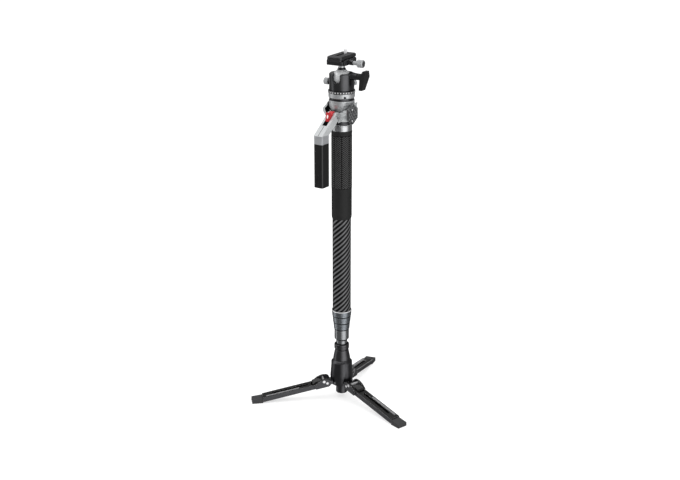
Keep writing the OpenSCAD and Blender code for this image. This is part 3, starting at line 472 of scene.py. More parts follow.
finishes = dict(
    blackMetal=dict(dark=(0.075, 0.075, 0.08), light=(0.105, 0.105, 0.11), rough=(0.27, 0.36), metal=1,
                    grain=0.18, depth=0.02, bump=0.22),
    blackHead=dict(dark=(0.095, 0.095, 0.10), light=(0.125, 0.125, 0.13), rough=(0.26, 0.34), metal=1,
                   grain=0.15, depth=0.02, bump=0.2),
    plateBlack=dict(dark=(0.07, 0.07, 0.072), light=(0.10, 0.10, 0.105), rough=(0.34, 0.44), metal=0.9,
                    grain=0.2, depth=0.03, bump=0.3),
    legBlack=dict(dark=(0.06, 0.06, 0.064), light=(0.09, 0.09, 0.095), rough=(0.32, 0.42), metal=0.9,
                  grain=0.2, depth=0.02, bump=0.25),
    # painted shade: a darker black for the faces of the legs that face upwards
    deckShade=dict(dark=(0.004, 0.004, 0.004), light=(0.010, 0.010, 0.010), rough=(0.4, 0.5), grain=0.2,
                   depth=0.02, bump=0.25, specular=0.3),
    # soft painted highlight for the hub shell's bevelled edges
    softEdgeHighlight=dict(dark=(0.12, 0.12, 0.125), light=(0.24, 0.24, 0.25), rough=(0.3, 0.4), metal=0.6,
                  grain=0.5, patch=5, depth=0.02, bump=0.2),
    # painted highlight for the bevelled edges of the head and the clamp, and for the teeth of the leg racks
    edgeHighlight=dict(dark=(0.20, 0.20, 0.21), light=(0.52, 0.52, 0.53), rough=(0.3, 0.42), metal=0.5,
                  grain=0.5, patch=5, depth=0.02, bump=0.2),
    # strong painted highlight for the bevelled edges of the legs and the camera plate's upper rim
    strongEdgeHighlight=dict(dark=(0.42, 0.42, 0.43), light=(0.78, 0.78, 0.79), rough=(0.3, 0.42), metal=0.45,
                    grain=0.5, patch=5, depth=0.02, bump=0.2),
    gloss=dict(dark=(0.008, 0.008, 0.008), light=(0.018, 0.018, 0.018), rough=(0.16, 0.26), grain=0.4,
               depth=0.02, bump=0.15, coat=0.4),
    leverBlack=dict(dark=(0.006, 0.006, 0.006), light=(0.012, 0.012, 0.012), rough=(0.36, 0.46), grain=0.3,
                    depth=0.03, bump=0.3, specular=0.45),
    rubber=dict(dark=(0.006, 0.006, 0.006), light=(0.012, 0.012, 0.012), rough=(0.58, 0.72), grain=0.3,
                depth=0.04, bump=0.4, specular=0.4),
    # painted shade for the low faces of the grip's pattern, and a painted highlight for its raised bars
    rubberShade=dict(dark=(0.003, 0.003, 0.003), light=(0.006, 0.006, 0.006), rough=(0.7, 0.85), grain=0.3,
                   depth=0.04, bump=0.4, specular=0.1),
    rubberHighlight=dict(dark=(0.032, 0.032, 0.032), light=(0.048, 0.048, 0.048), rough=(0.5, 0.6), grain=0.3,
                    depth=0.04, bump=0.4, specular=0.5),
    handleBlack=dict(dark=(0.003, 0.003, 0.003), light=(0.006, 0.006, 0.006), rough=(0.26, 0.34), grain=0.2,
                     depth=0.02, bump=0.2, specular=0.6),
    footRubber=dict(dark=(0.026, 0.026, 0.027), light=(0.038, 0.038, 0.04), rough=(0.6, 0.75), grain=0.35,
                    depth=0.05, bump=0.4, specular=0.4),
    silver=dict(dark=(0.54, 0.55, 0.56), light=(0.68, 0.69, 0.70), rough=(0.36, 0.46), metal=0.85,
                lathe=0.3, depth=0.02, bump=0.2),
    bowlSilver=dict(dark=(0.50, 0.51, 0.52), light=(0.66, 0.67, 0.68), rough=(0.36, 0.44), metal=0.85,
                    lathe=0.5, depth=0.03, bump=0.3),
    polished=dict(dark=(0.58, 0.59, 0.60), light=(0.68, 0.69, 0.70), rough=(0.2, 0.26), metal=1, lathe=0.25,
                  depth=0.01, bump=0.1),
    chrome=dict(dark=(0.66, 0.67, 0.68), light=(0.78, 0.79, 0.80), rough=(0.4, 0.5), metal=0.45, grain=0.4,
                patch=14, depth=0.01, bump=0.06),
    pearl=dict(dark=(0.46, 0.475, 0.48), light=(0.56, 0.575, 0.58), rough=(0.4, 0.5), metal=0.4, grain=0.16,
               depth=0.02, bump=0.3),
    blockSilver=dict(dark=(0.36, 0.37, 0.385), light=(0.46, 0.47, 0.485), rough=(0.36, 0.46), metal=0.6,
                     grain=0.16, depth=0.02, bump=0.3),
    gunmetal=dict(dark=(0.27, 0.295, 0.32), light=(0.37, 0.395, 0.42), rough=(0.26, 0.34), metal=1,
                  lathe=0.5, depth=0.05, bump=0.3),
    knobGrey=dict(dark=(0.20, 0.205, 0.21), light=(0.32, 0.325, 0.33), rough=(0.3, 0.42), metal=1,
                  grain=0.2, depth=0.02, bump=0.3),
    # painted shade for the valleys of the fork knob's ridges
    knobValleyShade=dict(dark=(0.06, 0.06, 0.065), light=(0.10, 0.10, 0.105), rough=(0.35, 0.45), metal=1,
                  grain=0.2, depth=0.02, bump=0.3),
    steel=dict(dark=(0.62, 0.62, 0.63), light=(0.80, 0.80, 0.81), rough=(0.2, 0.32), metal=1, grain=0.3,
               depth=0.01, bump=0.2),
    red=dict(dark=(0.40, 0.012, 0.018), light=(0.62, 0.03, 0.04), rough=(0.28, 0.38), metal=0.4, grain=0.2,
             depth=0.02, bump=0.2, coat=0.3),
    knurledSilver=dict(dark=(0.40, 0.41, 0.42), light=(0.52, 0.53, 0.54), rough=(0.38, 0.48), metal=0.6,
                       grain=0.3, depth=0.01, bump=0.2),
    screwSilver=dict(dark=(0.72, 0.72, 0.73), light=(0.84, 0.84, 0.85), rough=(0.3, 0.4), metal=0.4,
                     grain=0.3, depth=0.01, bump=0.1),
    fitting=dict(dark=(0.30, 0.31, 0.32), light=(0.40, 0.41, 0.42), rough=(0.2, 0.28), metal=1, lathe=0.3,
                 depth=0.02, bump=0.2),
    paleSpot=dict(dark=(0.70, 0.58, 0.58), light=(0.82, 0.74, 0.74), rough=(0.3, 0.4), grain=0.3, depth=0.02,
               bump=0.15),
    acetal=dict(dark=(0.68, 0.67, 0.62), light=(0.78, 0.77, 0.72), rough=(0.4, 0.5), grain=0.5, depth=0.02,
                bump=0.2),
    # painted shade for holes, recesses, slots and openings, and also the colour of the arm's dark joint
    shadeAndSeamBlack=dict(dark=(0.004, 0.004, 0.004), light=(0.008, 0.008, 0.008), rough=(0.6, 0.8), grain=0.5,
              depth=0.02, bump=0.1, specular=0.1),
)
material = {name: surface(name, look) for name, look in finishes.items()}


def carbonSurface():
    # the twill's tows light and its seams dark, with the fibres' grain over both, under a thin clear coat
    m = bpy.data.materials.new("carbonTube")
    m.use_nodes = True
    tree = m.node_tree
    shader = tree.nodes["Principled BSDF"]
    twill = placedGroup(tree, carbonTwill, pitch=9.6)
    shader.inputs["Coat Weight"].default_value = 0.08
    shader.inputs["Specular IOR Level"].default_value = 0.15
    shader.inputs["Coat Roughness"].default_value = 0.16
    shade = mathNode(tree, "MULTIPLY", twill.outputs["Warp"],
                     mathNode(tree, "ADD", mathNode(tree, "MULTIPLY", twill.outputs["Fibre"], 0.5), 0.75))
    shade = mathNode(tree, "MULTIPLY", shade,
                     mathNode(tree, "ADD", mathNode(tree, "MULTIPLY", twill.outputs["Seam"], 0.45), 0.55))
    tree.links.new(colourMix(tree, shade, (0.0012, 0.0012, 0.0013), (0.155, 0.155, 0.16)),
                   shader.inputs["Base Color"])
    tree.links.new(valueRange(tree, twill.outputs["Warp"], 0.5, 0.34), shader.inputs["Roughness"])
    shader.inputs["Metallic"].default_value = 0.25
    bump = tree.nodes.new("ShaderNodeBump")
    bump.inputs["Strength"].default_value = 0.25
    bump.inputs["Distance"].default_value = 0.00006
    tree.links.new(twill.outputs["Height"], bump.inputs["Height"])
    tree.links.new(bump.outputs["Normal"], shader.inputs["Normal"])
    return m


material["carbon"] = carbonSurface()


def markedRing():
    # black anodising with a ring of pale engraved dashes
    m = surface("indexBlack", finishes["blackHead"])
    tree = m.node_tree
    shader = tree.nodes["Principled BSDF"]
    marks = placedGroup(tree, scaleMarks, count=30, low=625.9, high=628.4, share=0.3)
    base = shader.inputs["Base Color"].links[0].from_socket
    mix = tree.nodes.new("ShaderNodeMix")
    mix.data_type = "RGBA"
    mix.inputs["B"].default_value = (0.55, 0.55, 0.55, 1)
    tree.links.new(base, mix.inputs["A"])
    tree.links.new(marks.outputs["Mask"], mix.inputs["Factor"])
    tree.links.new(mix.outputs["Result"], shader.inputs["Base Color"])
    tree.links.new(mathNode(tree, "SUBTRACT", 1.0, marks.outputs["Mask"]), shader.inputs["Metallic"])
    return m


material["indexBlack"] = markedRing()
print("materials ready:", len(material))

# Column

def dressNode(node, finish):
    # a CAD node whose shape is right keeps it and gets a finish
    data = nodes[node].data
    data.materials.clear()
    data.materials.append(material[finish])


for node in ("tube_1", "tube_2", "tube_3", "tube_4"):
    dressNode(node, "carbon")
for node in ("guide_bush_4", "tube_3_bushes", "tube_2_bushes", "lock_collet_1", "bowl_liner", "ball_cup",
             "head_cup"):
    dressNode(node, "acetal")

grip = dict(low=378.4, high=552.0, radius=20.0, patternLow=440.0, patternHigh=544.0, columns=8, pitch=7.6,
            slant=0.62, depth=0.75, chamfer=4.6, ridgeFrom=19.77)


def makeColumnGrip(g):
    # the relief is a sawtooth of slanted bars: the height over the pitch, shifted by a triangle
    # wave of the angle, gives each bar's rounded hump
    steps = 320
    top = g["high"]
    plain = rounded([(18.0, g["low"]), (18.6, g["low"], 0.3),
                     (g["radius"] - 0.5, g["low"] + g["chamfer"], 1.0),
                     (g["radius"] - 0.5, g["patternLow"] - 3, 0.4)])
    rows = np.linspace(g["patternLow"] - 2, g["patternHigh"] + 2, 280)
    upper = rounded([(g["radius"] - 0.4, g["patternHigh"] + 3), (g["radius"], g["patternHigh"] + 4.0, 0.5),
                     (g["radius"], top, 0.9), (18.0, top)])
    z = np.concatenate([plain[:, 1], rows, upper[:, 1]])[:, None]
    base = np.concatenate([plain[:, 0], np.full(len(rows), g["radius"] - 0.35), upper[:, 0]])[:, None]
    angle = np.linspace(0, 2 * math.pi, steps, endpoint=False)[None, :]
    arc = angle * g["radius"]
    width = 2 * math.pi * g["radius"] / g["columns"]
    across = np.abs(((arc / width) % 2) - 1) * width
    within = (arc / width) % 1
    bars = ((z + across * g["slant"]) / g["pitch"] * 2) % 1
    hump = np.clip(np.sin(bars * math.pi), 0, 1) ** 0.6
    valley = np.clip(np.minimum(within, 1 - within) * 18, 0, 1) ** 0.7
    fade = np.clip((z - g["patternLow"]) / 2, 0, 1) * np.clip((g["patternHigh"] - z) / 2, 0, 1)
    inside = (z >= rows[0]) & (z <= rows[-1])
    relief = np.where(inside, (hump * valley - 0.62) * g["depth"] * fade, 0)
    radius = np.repeat(base, steps, 1) + relief
    return turnedMesh("columnGrip", np.minimum(radius, g["radius"]), np.repeat(z, steps, 1), onColumn,
                      smoothAngle=60)


gripPiece = finished(makeColumnGrip(grip), "section_1", "grip_rubber", material["rubber"],
                     material["rubberShade"], material["rubberHighlight"], replaces="column_grip")


def inPattern(c):
    # which of the grip's faces lie in its raised pattern
    return (c[:, 2] > grip["patternLow"]) & (c[:, 2] < grip["patternHigh"])


# the pattern's low faces get painted shade and its raised bars a painted highlight
painted(gripPiece, 1, onColumn, lambda c, k: inPattern(c) & (fromAxis(c) <= grip["ridgeFrom"]))
painted(gripPiece, 2, onColumn, lambda c, k: inPattern(c) & (fromAxis(c) > grip["ridgeFrom"]))

collar = dict(low=552.0, high=565.0, radius=19.7)
finished(turned("topCollar", [(18.02, collar["low"]), (19.2, collar["low"], 0.3),
                              (collar["radius"], collar["low"] + 1.0, 0.4), (collar["radius"], 562.0, 0.2),
                              (collar["radius"] - 0.2, 562.2, 0.1), (collar["radius"] - 0.2, 562.6, 0.1),
                              (collar["radius"], 562.8, 0.1), (collar["radius"], 563.9, 0.5),
                              (18.9, collar["high"], 0.4), (18.02, collar["high"])], closed=True),
         "section_1", "polished_aluminium", material["polished"], replaces="top_collar")
finished(turned("headPlug", [(0, 552.0), (16.3, 552.0, 0.4), (16.3, 565.0), (18.4, 565.05, 0.3),
                             (18.4, 567.8, 0.2), (17.7, 568.1, 0.2), (17.7, 571.9), (5, 571.95), (5, 578.9),
                             (0, 579.0)]), "section_1", "black_aluminium", material["blackMetal"],
         replaces="head_plug")

lockRings = dict(bottoms={1: 174.4, 2: 160.4, 3: 146.4}, lowRadius={1: 18.5, 2: 16.85, 3: 15.2}, flare=1.35,
                 height=13.6, seat=7.0)


def makeLockRing(i, s):
    # an outside flare with three turned grooves and a foot painted dark as painted shade, and the stepped
    # bore of the CAD ring
    z, low, h = s["bottoms"][i], s["lowRadius"][i], s["height"]
    tube, inner = 18 - (i - 1) * 2, 16 - (i - 1) * 2

    def out(t):
        return low + s["flare"] * t
    outer = [(low - 0.9, z, 0.1), (low - 0.9, z + 1.3, 0.1), (out(0.1), z + 1.5, 0.2)]
    for t in (0.36, 0.6, 0.82):
        outer += [(out(t), z + h * t - 0.35, 0.08), (out(t) - 0.3, z + h * t, 0.1),
                  (out(t), z + h * t + 0.35, 0.08)]
    outer += [(out(0.97), z + h - 0.5, 0.2), (out(1) - 0.5, z + h, 0.1)]
    bore = [(tube + 0.07, z + h, 0.1), (tube + 0.07, z + s["seat"]), (inner + 1.4, z + s["seat"]),
            (inner + 1.4, z + 1.0), (inner + 0.32, z + 1.0), (inner + 0.32, z, 0.1)]
    ring = turned(f"lockRing{i}", outer + bore, closed=True)
    finished(ring, f"ring_{i}", "gunmetal", material["gunmetal"], material["shadeAndSeamBlack"],
             replaces=f"lock_ring_{i}")
    # the recessed foot is painted dark as painted shade
    painted(ring, 1, onColumn, lambda c, k: (c[:, 2] < z + 1.4) & (fromAxis(c) < low + 0.1))


for i in (1, 2, 3):
    makeLockRing(i, lockRings)
# the silver lip on the uppermost ring, made pale to carry a painted highlight
finished(turned("topRingLip", [(18.07, 186.6), (19.75, 186.6, 0.2), (19.9, 187.4, 0.2), (19.6, 188.0, 0.3),
                               (18.07, 188.0)], closed=True), "ring_1", "gunmetal", material["screwSilver"])

finished(turned("bottomFitting", [(5.05, 90.0), (10.6, 90.0, 0.2), (11.0, 90.6, 0.3), (11.0, 113.2, 0.1),
                                  (10.6, 113.6, 0.1), (10.6, 114.6, 0.1), (11.0, 115.0, 0.1),
                                  (11.0, 123.4, 0.5), (14.3, 126.4, 0.6), (14.5, 127.6, 0.4),
                                  (14.5, 145.2, 0.3), (14.1, 146.0, 0.2), (10.5, 146.0), (10.5, 170.0),
                                  (8.5, 170.0), (8.5, 151.7), (5.05, 151.7)], closed=True), "column_foot",
         "satin_aluminium", material["fitting"], replaces="bottom_fitting")

# Base

finished(turned("lockSleeve", [(11.06, 86.0), (15.2, 82.6), (17.1, 81.4, 0.3), (17.2, 83.0, 0.5),
                               (16.9, 85.5, 0.8), (16.3, 88.5, 1.0), (13.9, 101.4, 0.8), (13.2, 102.5, 0.3),
                               (12.62, 102.5), (12.62, 109.4), (11.06, 109.4)], closed=True), "sleeve",
         "black_aluminium", material["blackHead"], replaces="lock_sleeve")
finished(turned("sleeveRing", [(12.62, 104.55), (14.0, 104.55, 0.3), (14.7, 105.3, 0.4),
                               (14.85, 106.3, 0.3), (14.85, 109.0, 0.2), (14.5, 109.4, 0.1),
                               (14.5, 110.0, 0.1), (14.85, 110.4, 0.2), (14.85, 114.2, 0.5),
                               (14.3, 114.95, 0.3), (13.4, 114.95, 0.3), (13.05, 114.0, 0.3),
                               (13.05, 109.45), (12.62, 109.45)], closed=True), "sleeve", "black_aluminium",
         material["blackHead"], replaces="sleeve_ring")
# the hub shell's bevelled edges get a soft painted highlight
finished(softened("hub_shell", "hubShell", 0.7, 3, edgeSlot=1), "base", "hub_black", material["blackMetal"],
         material["softEdgeHighlight"], replaces="hub_shell")
finished(turned("hubBottomCap", [(0, 8.8), (3.6, 8.8), (4.0, 9.4, 0.3), (9.6, 9.4, 0.3), (10.0, 8.8, 0.2),
                                 (10.6, 8.8, 0.5), (11.4, 9.8, 0.7), (11.4, 28.9, 0.1), (15.95, 29.05),
                                 (15.95, 43.9), (0, 43.95)]), "base", "hub_black", material["blackMetal"],
         replaces="hub_bottom_cap")
dressNode("base_ball", "chrome")
dressNode("base_spindle", "steel")
dressNode("hub_screws", "steel")
dressNode("leg_hinge_pins", "steel")

# Legs

for i in (1, 2, 3):
    # the legs' bevelled edges get the strong painted highlight
    channel = softened(f"leg_channel_{i}", f"legChannel{i}", 0.8, 2, edgeSlot=1)
    finished(channel, f"leg_{i}", "leg_black", material["legBlack"], material["strongEdgeHighlight"],
             material["deckShade"], replaces=f"leg_channel_{i}")
    # the faces that face upwards get the painted shade of the deck
    painted(channel, 2, legFrame(i), lambda c, k: k[:, 2] > 0.75)
    finished(softened(f"foot_cap_{i}", f"rubberFoot{i}", 0.8, 3), f"leg_{i}", "foot_rubber",
             material["footRubber"], replaces=f"foot_cap_{i}")
    dressNode(f"leg_rods_{i}", "steel")
    finished(softened(f"leg_tab_{i}", f"legTab{i}", 0.4, 2), f"tab_{i}", "tab_black", material["gloss"],
             replaces=f"leg_tab_{i}")

rack = dict(start=57.0, end=125.0, inner=4.2, outer=8.8, top=2.25, pitch=2.8, depth=0.55)


def makeLegRack(i, g):
    # a row of fine cross teeth let into the deck beside its slot: the height is a rounded wave of
    # the distance along the leg
    along = np.arange(g["start"], g["end"] + 0.01, g["pitch"] / 8)
    wave = np.abs(np.sin((along - g["start"]) / g["pitch"] * math.pi)) ** 0.6
    section = [(g["inner"], 1.2, 0), (g["inner"], g["top"] - 0.2, 1), (g["inner"] + 0.3, g["top"], 1),
               (g["outer"] - 0.3, g["top"], 1), (g["outer"], g["top"] - 0.2, 1), (g["outer"], 1.2, 0)]
    points = np.array([[(u, w, v - moves * g["depth"] * (1 - f)) for w, v, moves in section]
                       for u, f in zip(along, wave)])
    n = len(section)
    faces = gridFaces(len(along), n, True)
    ends = [list(range(n)), list(range((len(along) - 1) * n, len(along) * n))[::-1]]
    faces = [f[::-1] for f in faces] + ends
    piece = meshFrom(f"legRack{i}", placed(points.reshape(-1, 3), legFrame(i)), faces, 50)
    finished(piece, f"leg_{i}", "leg_black", material["edgeHighlight"], material["deckShade"])
    # the teeth carry the painted edge highlight, and the valleys between them are painted dark as painted
    # shade
    valley = g["top"] - g["depth"] * 0.5
    return painted(piece, 1, legFrame(i), lambda c, k: c[:, 2] < valley)


for i in (1, 2, 3):
    makeLegRack(i, rack)

# Fork, knob and handle

bowlZ = 606.7
fork = finished(softened("bowl_fork", "bowlFork", 0.6, 3), "section_1", "pearl_aluminium",
                material["pearl"], material["shadeAndSeamBlack"], replaces="bowl_fork")
# painted shade on the inner faces of the fork's cup and on the front faces of its far side
painted(fork, 1, handleFrame, lambda c, k: np.sum(k * (c - (0, 0, bowlZ)), 1) < -20)
painted(fork, 1, handleFrame, lambda c, k: (c[:, 1] < -4) & (c[:, 0] > 0.5) & (c[:, 0] < 24)
        & (c[:, 2] > 578) & (k[:, 0] > 0.5))
eye = finished(softened("strap_eye", "strapEye", 0.5, 3), "section_1", "steel", material["pearl"],
               material["shadeAndSeamBlack"], replaces="strap_eye")
# painted shade on the inner walls of the strap eye
painted(eye, 1, handleFrame, lambda c, k: (k[:, 1] * (-20 - c[:, 1]) + k[:, 2] * (bowlZ - 15 - c[:, 2]) > 1)
        & (np.abs(k[:, 0]) < 0.5))


forkShadeSheet = dict(outer=27.0, inner=26.2, turnFrom=-92, turnTo=-48, liftFrom=-58, liftTo=-3, steps=12)


def makeForkShadeSheet(g):
    # a dark sheet of painted shade that closes the fork's far opening behind the strap eye: a patch
    # of a sphere about the bowl's centre
    steps = g["steps"]
    turns = np.radians(np.linspace(g["turnFrom"], g["turnTo"], steps))
    loops = []
    for lift in np.radians(np.linspace(g["liftFrom"], g["liftTo"], steps)):
        for radius, around in ((g["outer"], turns), (g["inner"], turns[::-1])):
            flat = radius * math.cos(lift)
            height = np.full(steps, bowlZ + radius * math.sin(lift))
            loops.append(np.c_[flat * np.cos(around), flat * np.sin(around), height])
    points = np.vstack(loops)
    n = 2 * steps
    faces = gridFaces(steps, n, True)
    for base, turnOver in ((0, False), ((steps - 1) * n, True)):
        caps = [[base + k, base + k + 1, base + n - 2 - k, base + n - 1 - k] for k in range(steps - 1)]
        faces += [c if turnOver else c[::-1] for c in caps]
    return meshFrom("forkShadeSheet", placed(points, handleFrame), faces, 40)


finished(makeForkShadeSheet(forkShadeSheet), "section_1", "black_aluminium", material["shadeAndSeamBlack"])
dressNode("handle_pin", "steel")

bowlKnob = dict(out=12.9, z=589.7, low=29.8, halfHeight=19.8, halfWidth=15.0, face=5.95, ribSlant=0.62,
                ribPitch=0.52)


def makeBowlKnob(g):
    # a six-sided knob: rings of the same hexagon from the back face round the edge to the front,
    # whose face carries crossed ridges
    steps, m = 240, sideways(handleTurn, (g["out"], 0, g["z"]))
    corners = np.array([(0, 1), (1, 0.48), (1, -0.48), (0, -1), (-1, -0.48), (-1, 0.48)])
    corners = corners * (g["halfWidth"], g["halfHeight"])
    t = np.linspace(0, 6, steps, endpoint=False)
    k = t.astype(int)
    edge = corners[k] * (1 - (t - k))[:, None] + corners[(k + 1) % 6] * (t - k)[:, None]
    rows = [(0.2, 0.0), (0.955, 0.0), (0.99, 0.5), (1.0, 1.2), (1.0, 4.6), (0.985, 5.4), (0.95, 5.9)]
    rows += [(f, g["face"]) for f in np.linspace(0.93, 0.05, 46)]
    points = []
    for share, lift in rows:
        ring = edge * share
        height = np.full(steps, lift)
        if lift == g["face"]:
            slanted = ring[:, 1] * g["ribSlant"]
            rising = np.abs(np.sin((ring[:, 0] + slanted) * g["ribPitch"]))
            falling = np.abs(np.sin((ring[:, 0] - slanted) * g["ribPitch"]))
            ribs = np.minimum(rising, falling)
            height = lift - 0.9 * np.clip(ribs * 2.4 - 0.45, 0, 1) * np.clip((0.95 - share) * 30, 0, 1)
        points.append(np.c_[ring, -(g["low"] + height)])
    points = np.vstack(points)
    n = len(rows)
    faces = gridFaces(n, steps, True)
    faces += [list(range(steps)), list(range((n - 1) * steps, n * steps))[::-1]]
    faces = [f[::-1] for f in faces]
    return meshFrom("bowlKnob", placed(points, m), faces, 40)


knob = finished(makeBowlKnob(bowlKnob), "bowl_knob", "grey_knob", material["knobGrey"],
                material["knobValleyShade"], replaces="fork_knob")


def inKnobValley(c, k):
    # the valleys between the ridges on the knob's front, painted darker as painted shade
    depth = c[:, 1] - bowlKnob["low"]
    across = np.hypot(c[:, 0] - bowlKnob["out"], c[:, 2] - bowlKnob["z"])
    return (depth < 5.4) & (depth > 4.8) & (across < 17) & (np.abs(k[:, 1]) > 0.2)


painted(knob, 1, handleFrame, inKnobValley)
knobPins = dict(low=34.6, high=36.0, radius=1.5, places=dict(Upper=(16.4, 8.6), Lower=(16.2, -12.4)))
for label, (out, up) in knobPins["places"].items():
    radius = knobPins["radius"]
    profile = [(0, knobPins["low"]), (radius, knobPins["low"]), (radius, 35.9, 0.3), (0, knobPins["high"])]
    pin = turned(f"knobPin{label}", profile, alongAxis(handleTurn + 90, (0, -out, bowlKnob["z"] + up)),
                 steps=24)
    finished(pin, "bowl_knob", "grey_knob", material["screwSilver"])
knobScrew = turned("bowlKnobScrew", [(0, 17.2), (3.0, 17.2, 0.2), (3.0, 35.6), (0, 35.6)],
                   alongAxis(handleTurn + 90, (0, -bowlKnob["out"], bowlKnob["z"])))
finished(knobScrew, "bowl_knob", "grey_knob", material["steel"])
arm = finished(softened("handle_frame", "handleFrame", 0.5, 3), "handle", "pearl_aluminium",
               material["pearl"], material["shadeAndSeamBlack"], replaces="handle_frame")
# painted shade on the inner faces of the handle arm's slot
painted(arm, 1, handleFrame, lambda c, k: (np.abs(c[:, 1]) < 5.1)
        & ((np.abs(k[:, 1]) > 0.9) | (k[:, 0] < -0.9)) & (c[:, 0] < 58))
finished(softened("handle_block", "handleBlock", 0.4, 3), "handle", "satin_aluminium",
         material["blockSilver"], replaces="handle_block")
finished(softened("handle_grip", "handleGrip", 0.5, 3), "handle", "grip_rubber", material["handleBlack"],
         replaces="handle_grip")
trigger = finished(softened("trigger", "trigger", 0.5, 3), "finger_trigger", "red_anodised",
                   material["red"], material["pearl"], replaces="trigger")
painted(trigger, 1, handleFrame, lambda c, k: np.abs(c[:, 1]) > 4.6)
# the fine dark joint along the arm's middle, and a pale oval spot on the trigger's pad
armJoint = dict(outline=[(57.5, 570.45), (75.9, 556.05), (75.9, 555.6), (57.2, 570.2)], half=0.35)
joint = extruded("armJoint", armJoint["outline"], -armJoint["half"], armJoint["half"], sideways(handleTurn),
                 edge=0.05, segments=1)
finished(joint, "handle", "pearl_aluminium", material["shadeAndSeamBlack"])
pad = dict(out=45.7, z=586.2, lean=83, halfLong=3.6, halfWide=1.7, low=-0.6, high=0.55)
padAngle = np.linspace(0, 2 * math.pi, 32, endpoint=False)
padOutline = np.c_[pad["halfLong"] * np.cos(padAngle), pad["halfWide"] * np.sin(padAngle)]
padLean = Matrix.Rotation(math.radians(pad["lean"]), 4, "Y")
padFrame = turnedTo(handleTurn, (pad["out"], 0, pad["z"])) @ padLean
paleSpot = extruded("triggerPaleSpot", padOutline, pad["low"], pad["high"], padFrame, edge=0.25)
finished(paleSpot, "finger_trigger", "red_anodised", material["paleSpot"])

# Half bowl, turning plate and head

def arc(radius, low, high, count, z):
    # points on a circle about the axis, from one angle to another, as a turned profile
    a = np.radians(np.linspace(low, high, count))
    return [(radius * math.cos(v), z + radius * math.sin(v)) for v in a]


bowl = finished(turned("halfBowl", [(0, bowlZ - 6), (9, bowlZ - 6), (9, bowlZ - 22.8)]
                       + arc(24.6, -67.5, -4, 30, bowlZ)
                       + [(24.4, bowlZ - 1.2, 0.1), (24.0, bowlZ - 1.0, 0.1), (24.0, bowlZ + 0.2, 0.1),
                          (24.4, bowlZ + 0.5, 0.2), (24.4, bowlZ + 4.0, 0.3), (23.9, bowlZ + 4.4, 0.2),
                          (23.4, bowlZ + 4.4), (23.4, bowlZ + 9.15), (4.75, bowlZ + 9.15),
                          (4.75, bowlZ + 16.1), (0, bowlZ + 16.1)]), "bowl", "satin_aluminium",
                material["bowlSilver"], material["blackMetal"], replaces="half_bowl")
# the band of the spigot under the turning plate is painted black as painted shade in the gap
painted(bowl, 1, onColumn, lambda c, k: (c[:, 2] > bowlZ + 4.3) & (c[:, 2] < bowlZ + 9.2)
        & (fromAxis(c) > 10))
turnPlate = finished(softened("pan_plate", "panPlate", 0.3, 2), "bowl", "satin_aluminium",
                     material["silver"], material["shadeAndSeamBlack"], replaces="pan_plate")
panHole = dict(turn=283, z=618.8, radius=2.2, inner=14.5, outer=24.8)


def inPanHole(c, k):
    # the faces of the hole in the turning plate's edge, painted dark as painted shade
    reached = (c[:, 0] > panHole["inner"]) & (c[:, 0] < panHole["outer"])
    return reached & (np.hypot(c[:, 1], c[:, 2] - panHole["z"]) < panHole["radius"])


painted(turnPlate, 1, turnedTo(panHole["turn"]), inPanHole)
finished(turned("indexRing", [(9.05, 624.55), (25.0, 624.55, 0.3), (25.6, 625.1, 0.2), (25.6, 629.0, 0.3),
                              (25.1, 629.65, 0.3), (23.9, 629.65, 0.1), (23.6, 629.3, 0.1), (9.05, 629.3)],
                closed=True), "bowl", "black_aluminium", material["indexBlack"], replaces="index_ring")
# the head's bevelled edges get the painted highlight
finished(softened("head_body", "headBody", 0.45, 3, edgeSlot=1), "head", "black_aluminium",
         material["blackHead"], material["edgeHighlight"], replaces="head_body")
finished(softened("main_lock_lever", "mainLockLever", 1.0, 3), "main_lock", "lever_black",
         material["leverBlack"], replaces="main_lock_lever")
dressNode("head_ball", "chrome")
ballZ, ballRadius = 652.4, 17.32
stem = finished(turned("ballStem", [(0, ballZ + ballRadius)] + arc(ballRadius, 88, 62, 8, ballZ)
                       + [(8.2, ballZ + 15.3, 0.05), (8.2, ballZ + 15.8, 0.2), (6.9, ballZ + 18.4, 0.2),
                          (6.2, ballZ + 18.9, 0.1), (6.2, ballZ + 25.4, 0.2), (4.0, ballZ + 25.45),
                          (4.0, ballZ + 31.7), (0, ballZ + 31.7)]), "stem", "ball_chrome",
                material["silver"], material["blackMetal"], replaces="ball_stem")
painted(stem, 1, onColumn, lambda c, k: (c[:, 2] < ballZ + 18.85) & (fromAxis(c) > 6.2))


def makeKnob(name, g):
    # a knurled hand screw that points along its turn: plain screw, neck, knurled barrel, and a sunk
    # disc in its end
    low, high, radius, screw = g["low"], g["high"], g["radius"], g["screw"]
    profile = [(0, g["screwFrom"]), (screw, g["screwFrom"], 0.2)]
    if "neck" in g:
        neckRadius, neckFrom = g["neck"]
        profile += [(screw, neckFrom), (neckRadius, neckFrom, 0.2), (neckRadius, low)]
    else:
        profile += [(screw, low)]
    profile += [(radius - 0.9, low, 0.2), (radius, low + 0.9, 0.2), (radius, high - 0.9, 0.2),
                (radius - 0.9, high, 0.2)]
    profile += [(radius - 1.9, high, 0.1), (radius - 2.2, high - 0.4, 0.1), (0, high - 0.4)]
    axis = alongAxis(g["turn"], (0, 0, g["z"]))
    knob = knurled(name, profile, axis, g["ridges"], 0.5, (low + g["plainEnd"], high - g["plainEnd"]))
    finished(knob, g["body"], "knurled_silver", material["knurledSilver"], material["knobGrey"],
             replaces=g["node"])
    return painted(knob, 1, axis, lambda c, k: (c[:, 2] > high - 0.6) & (fromAxis(c) < radius - 1.6))


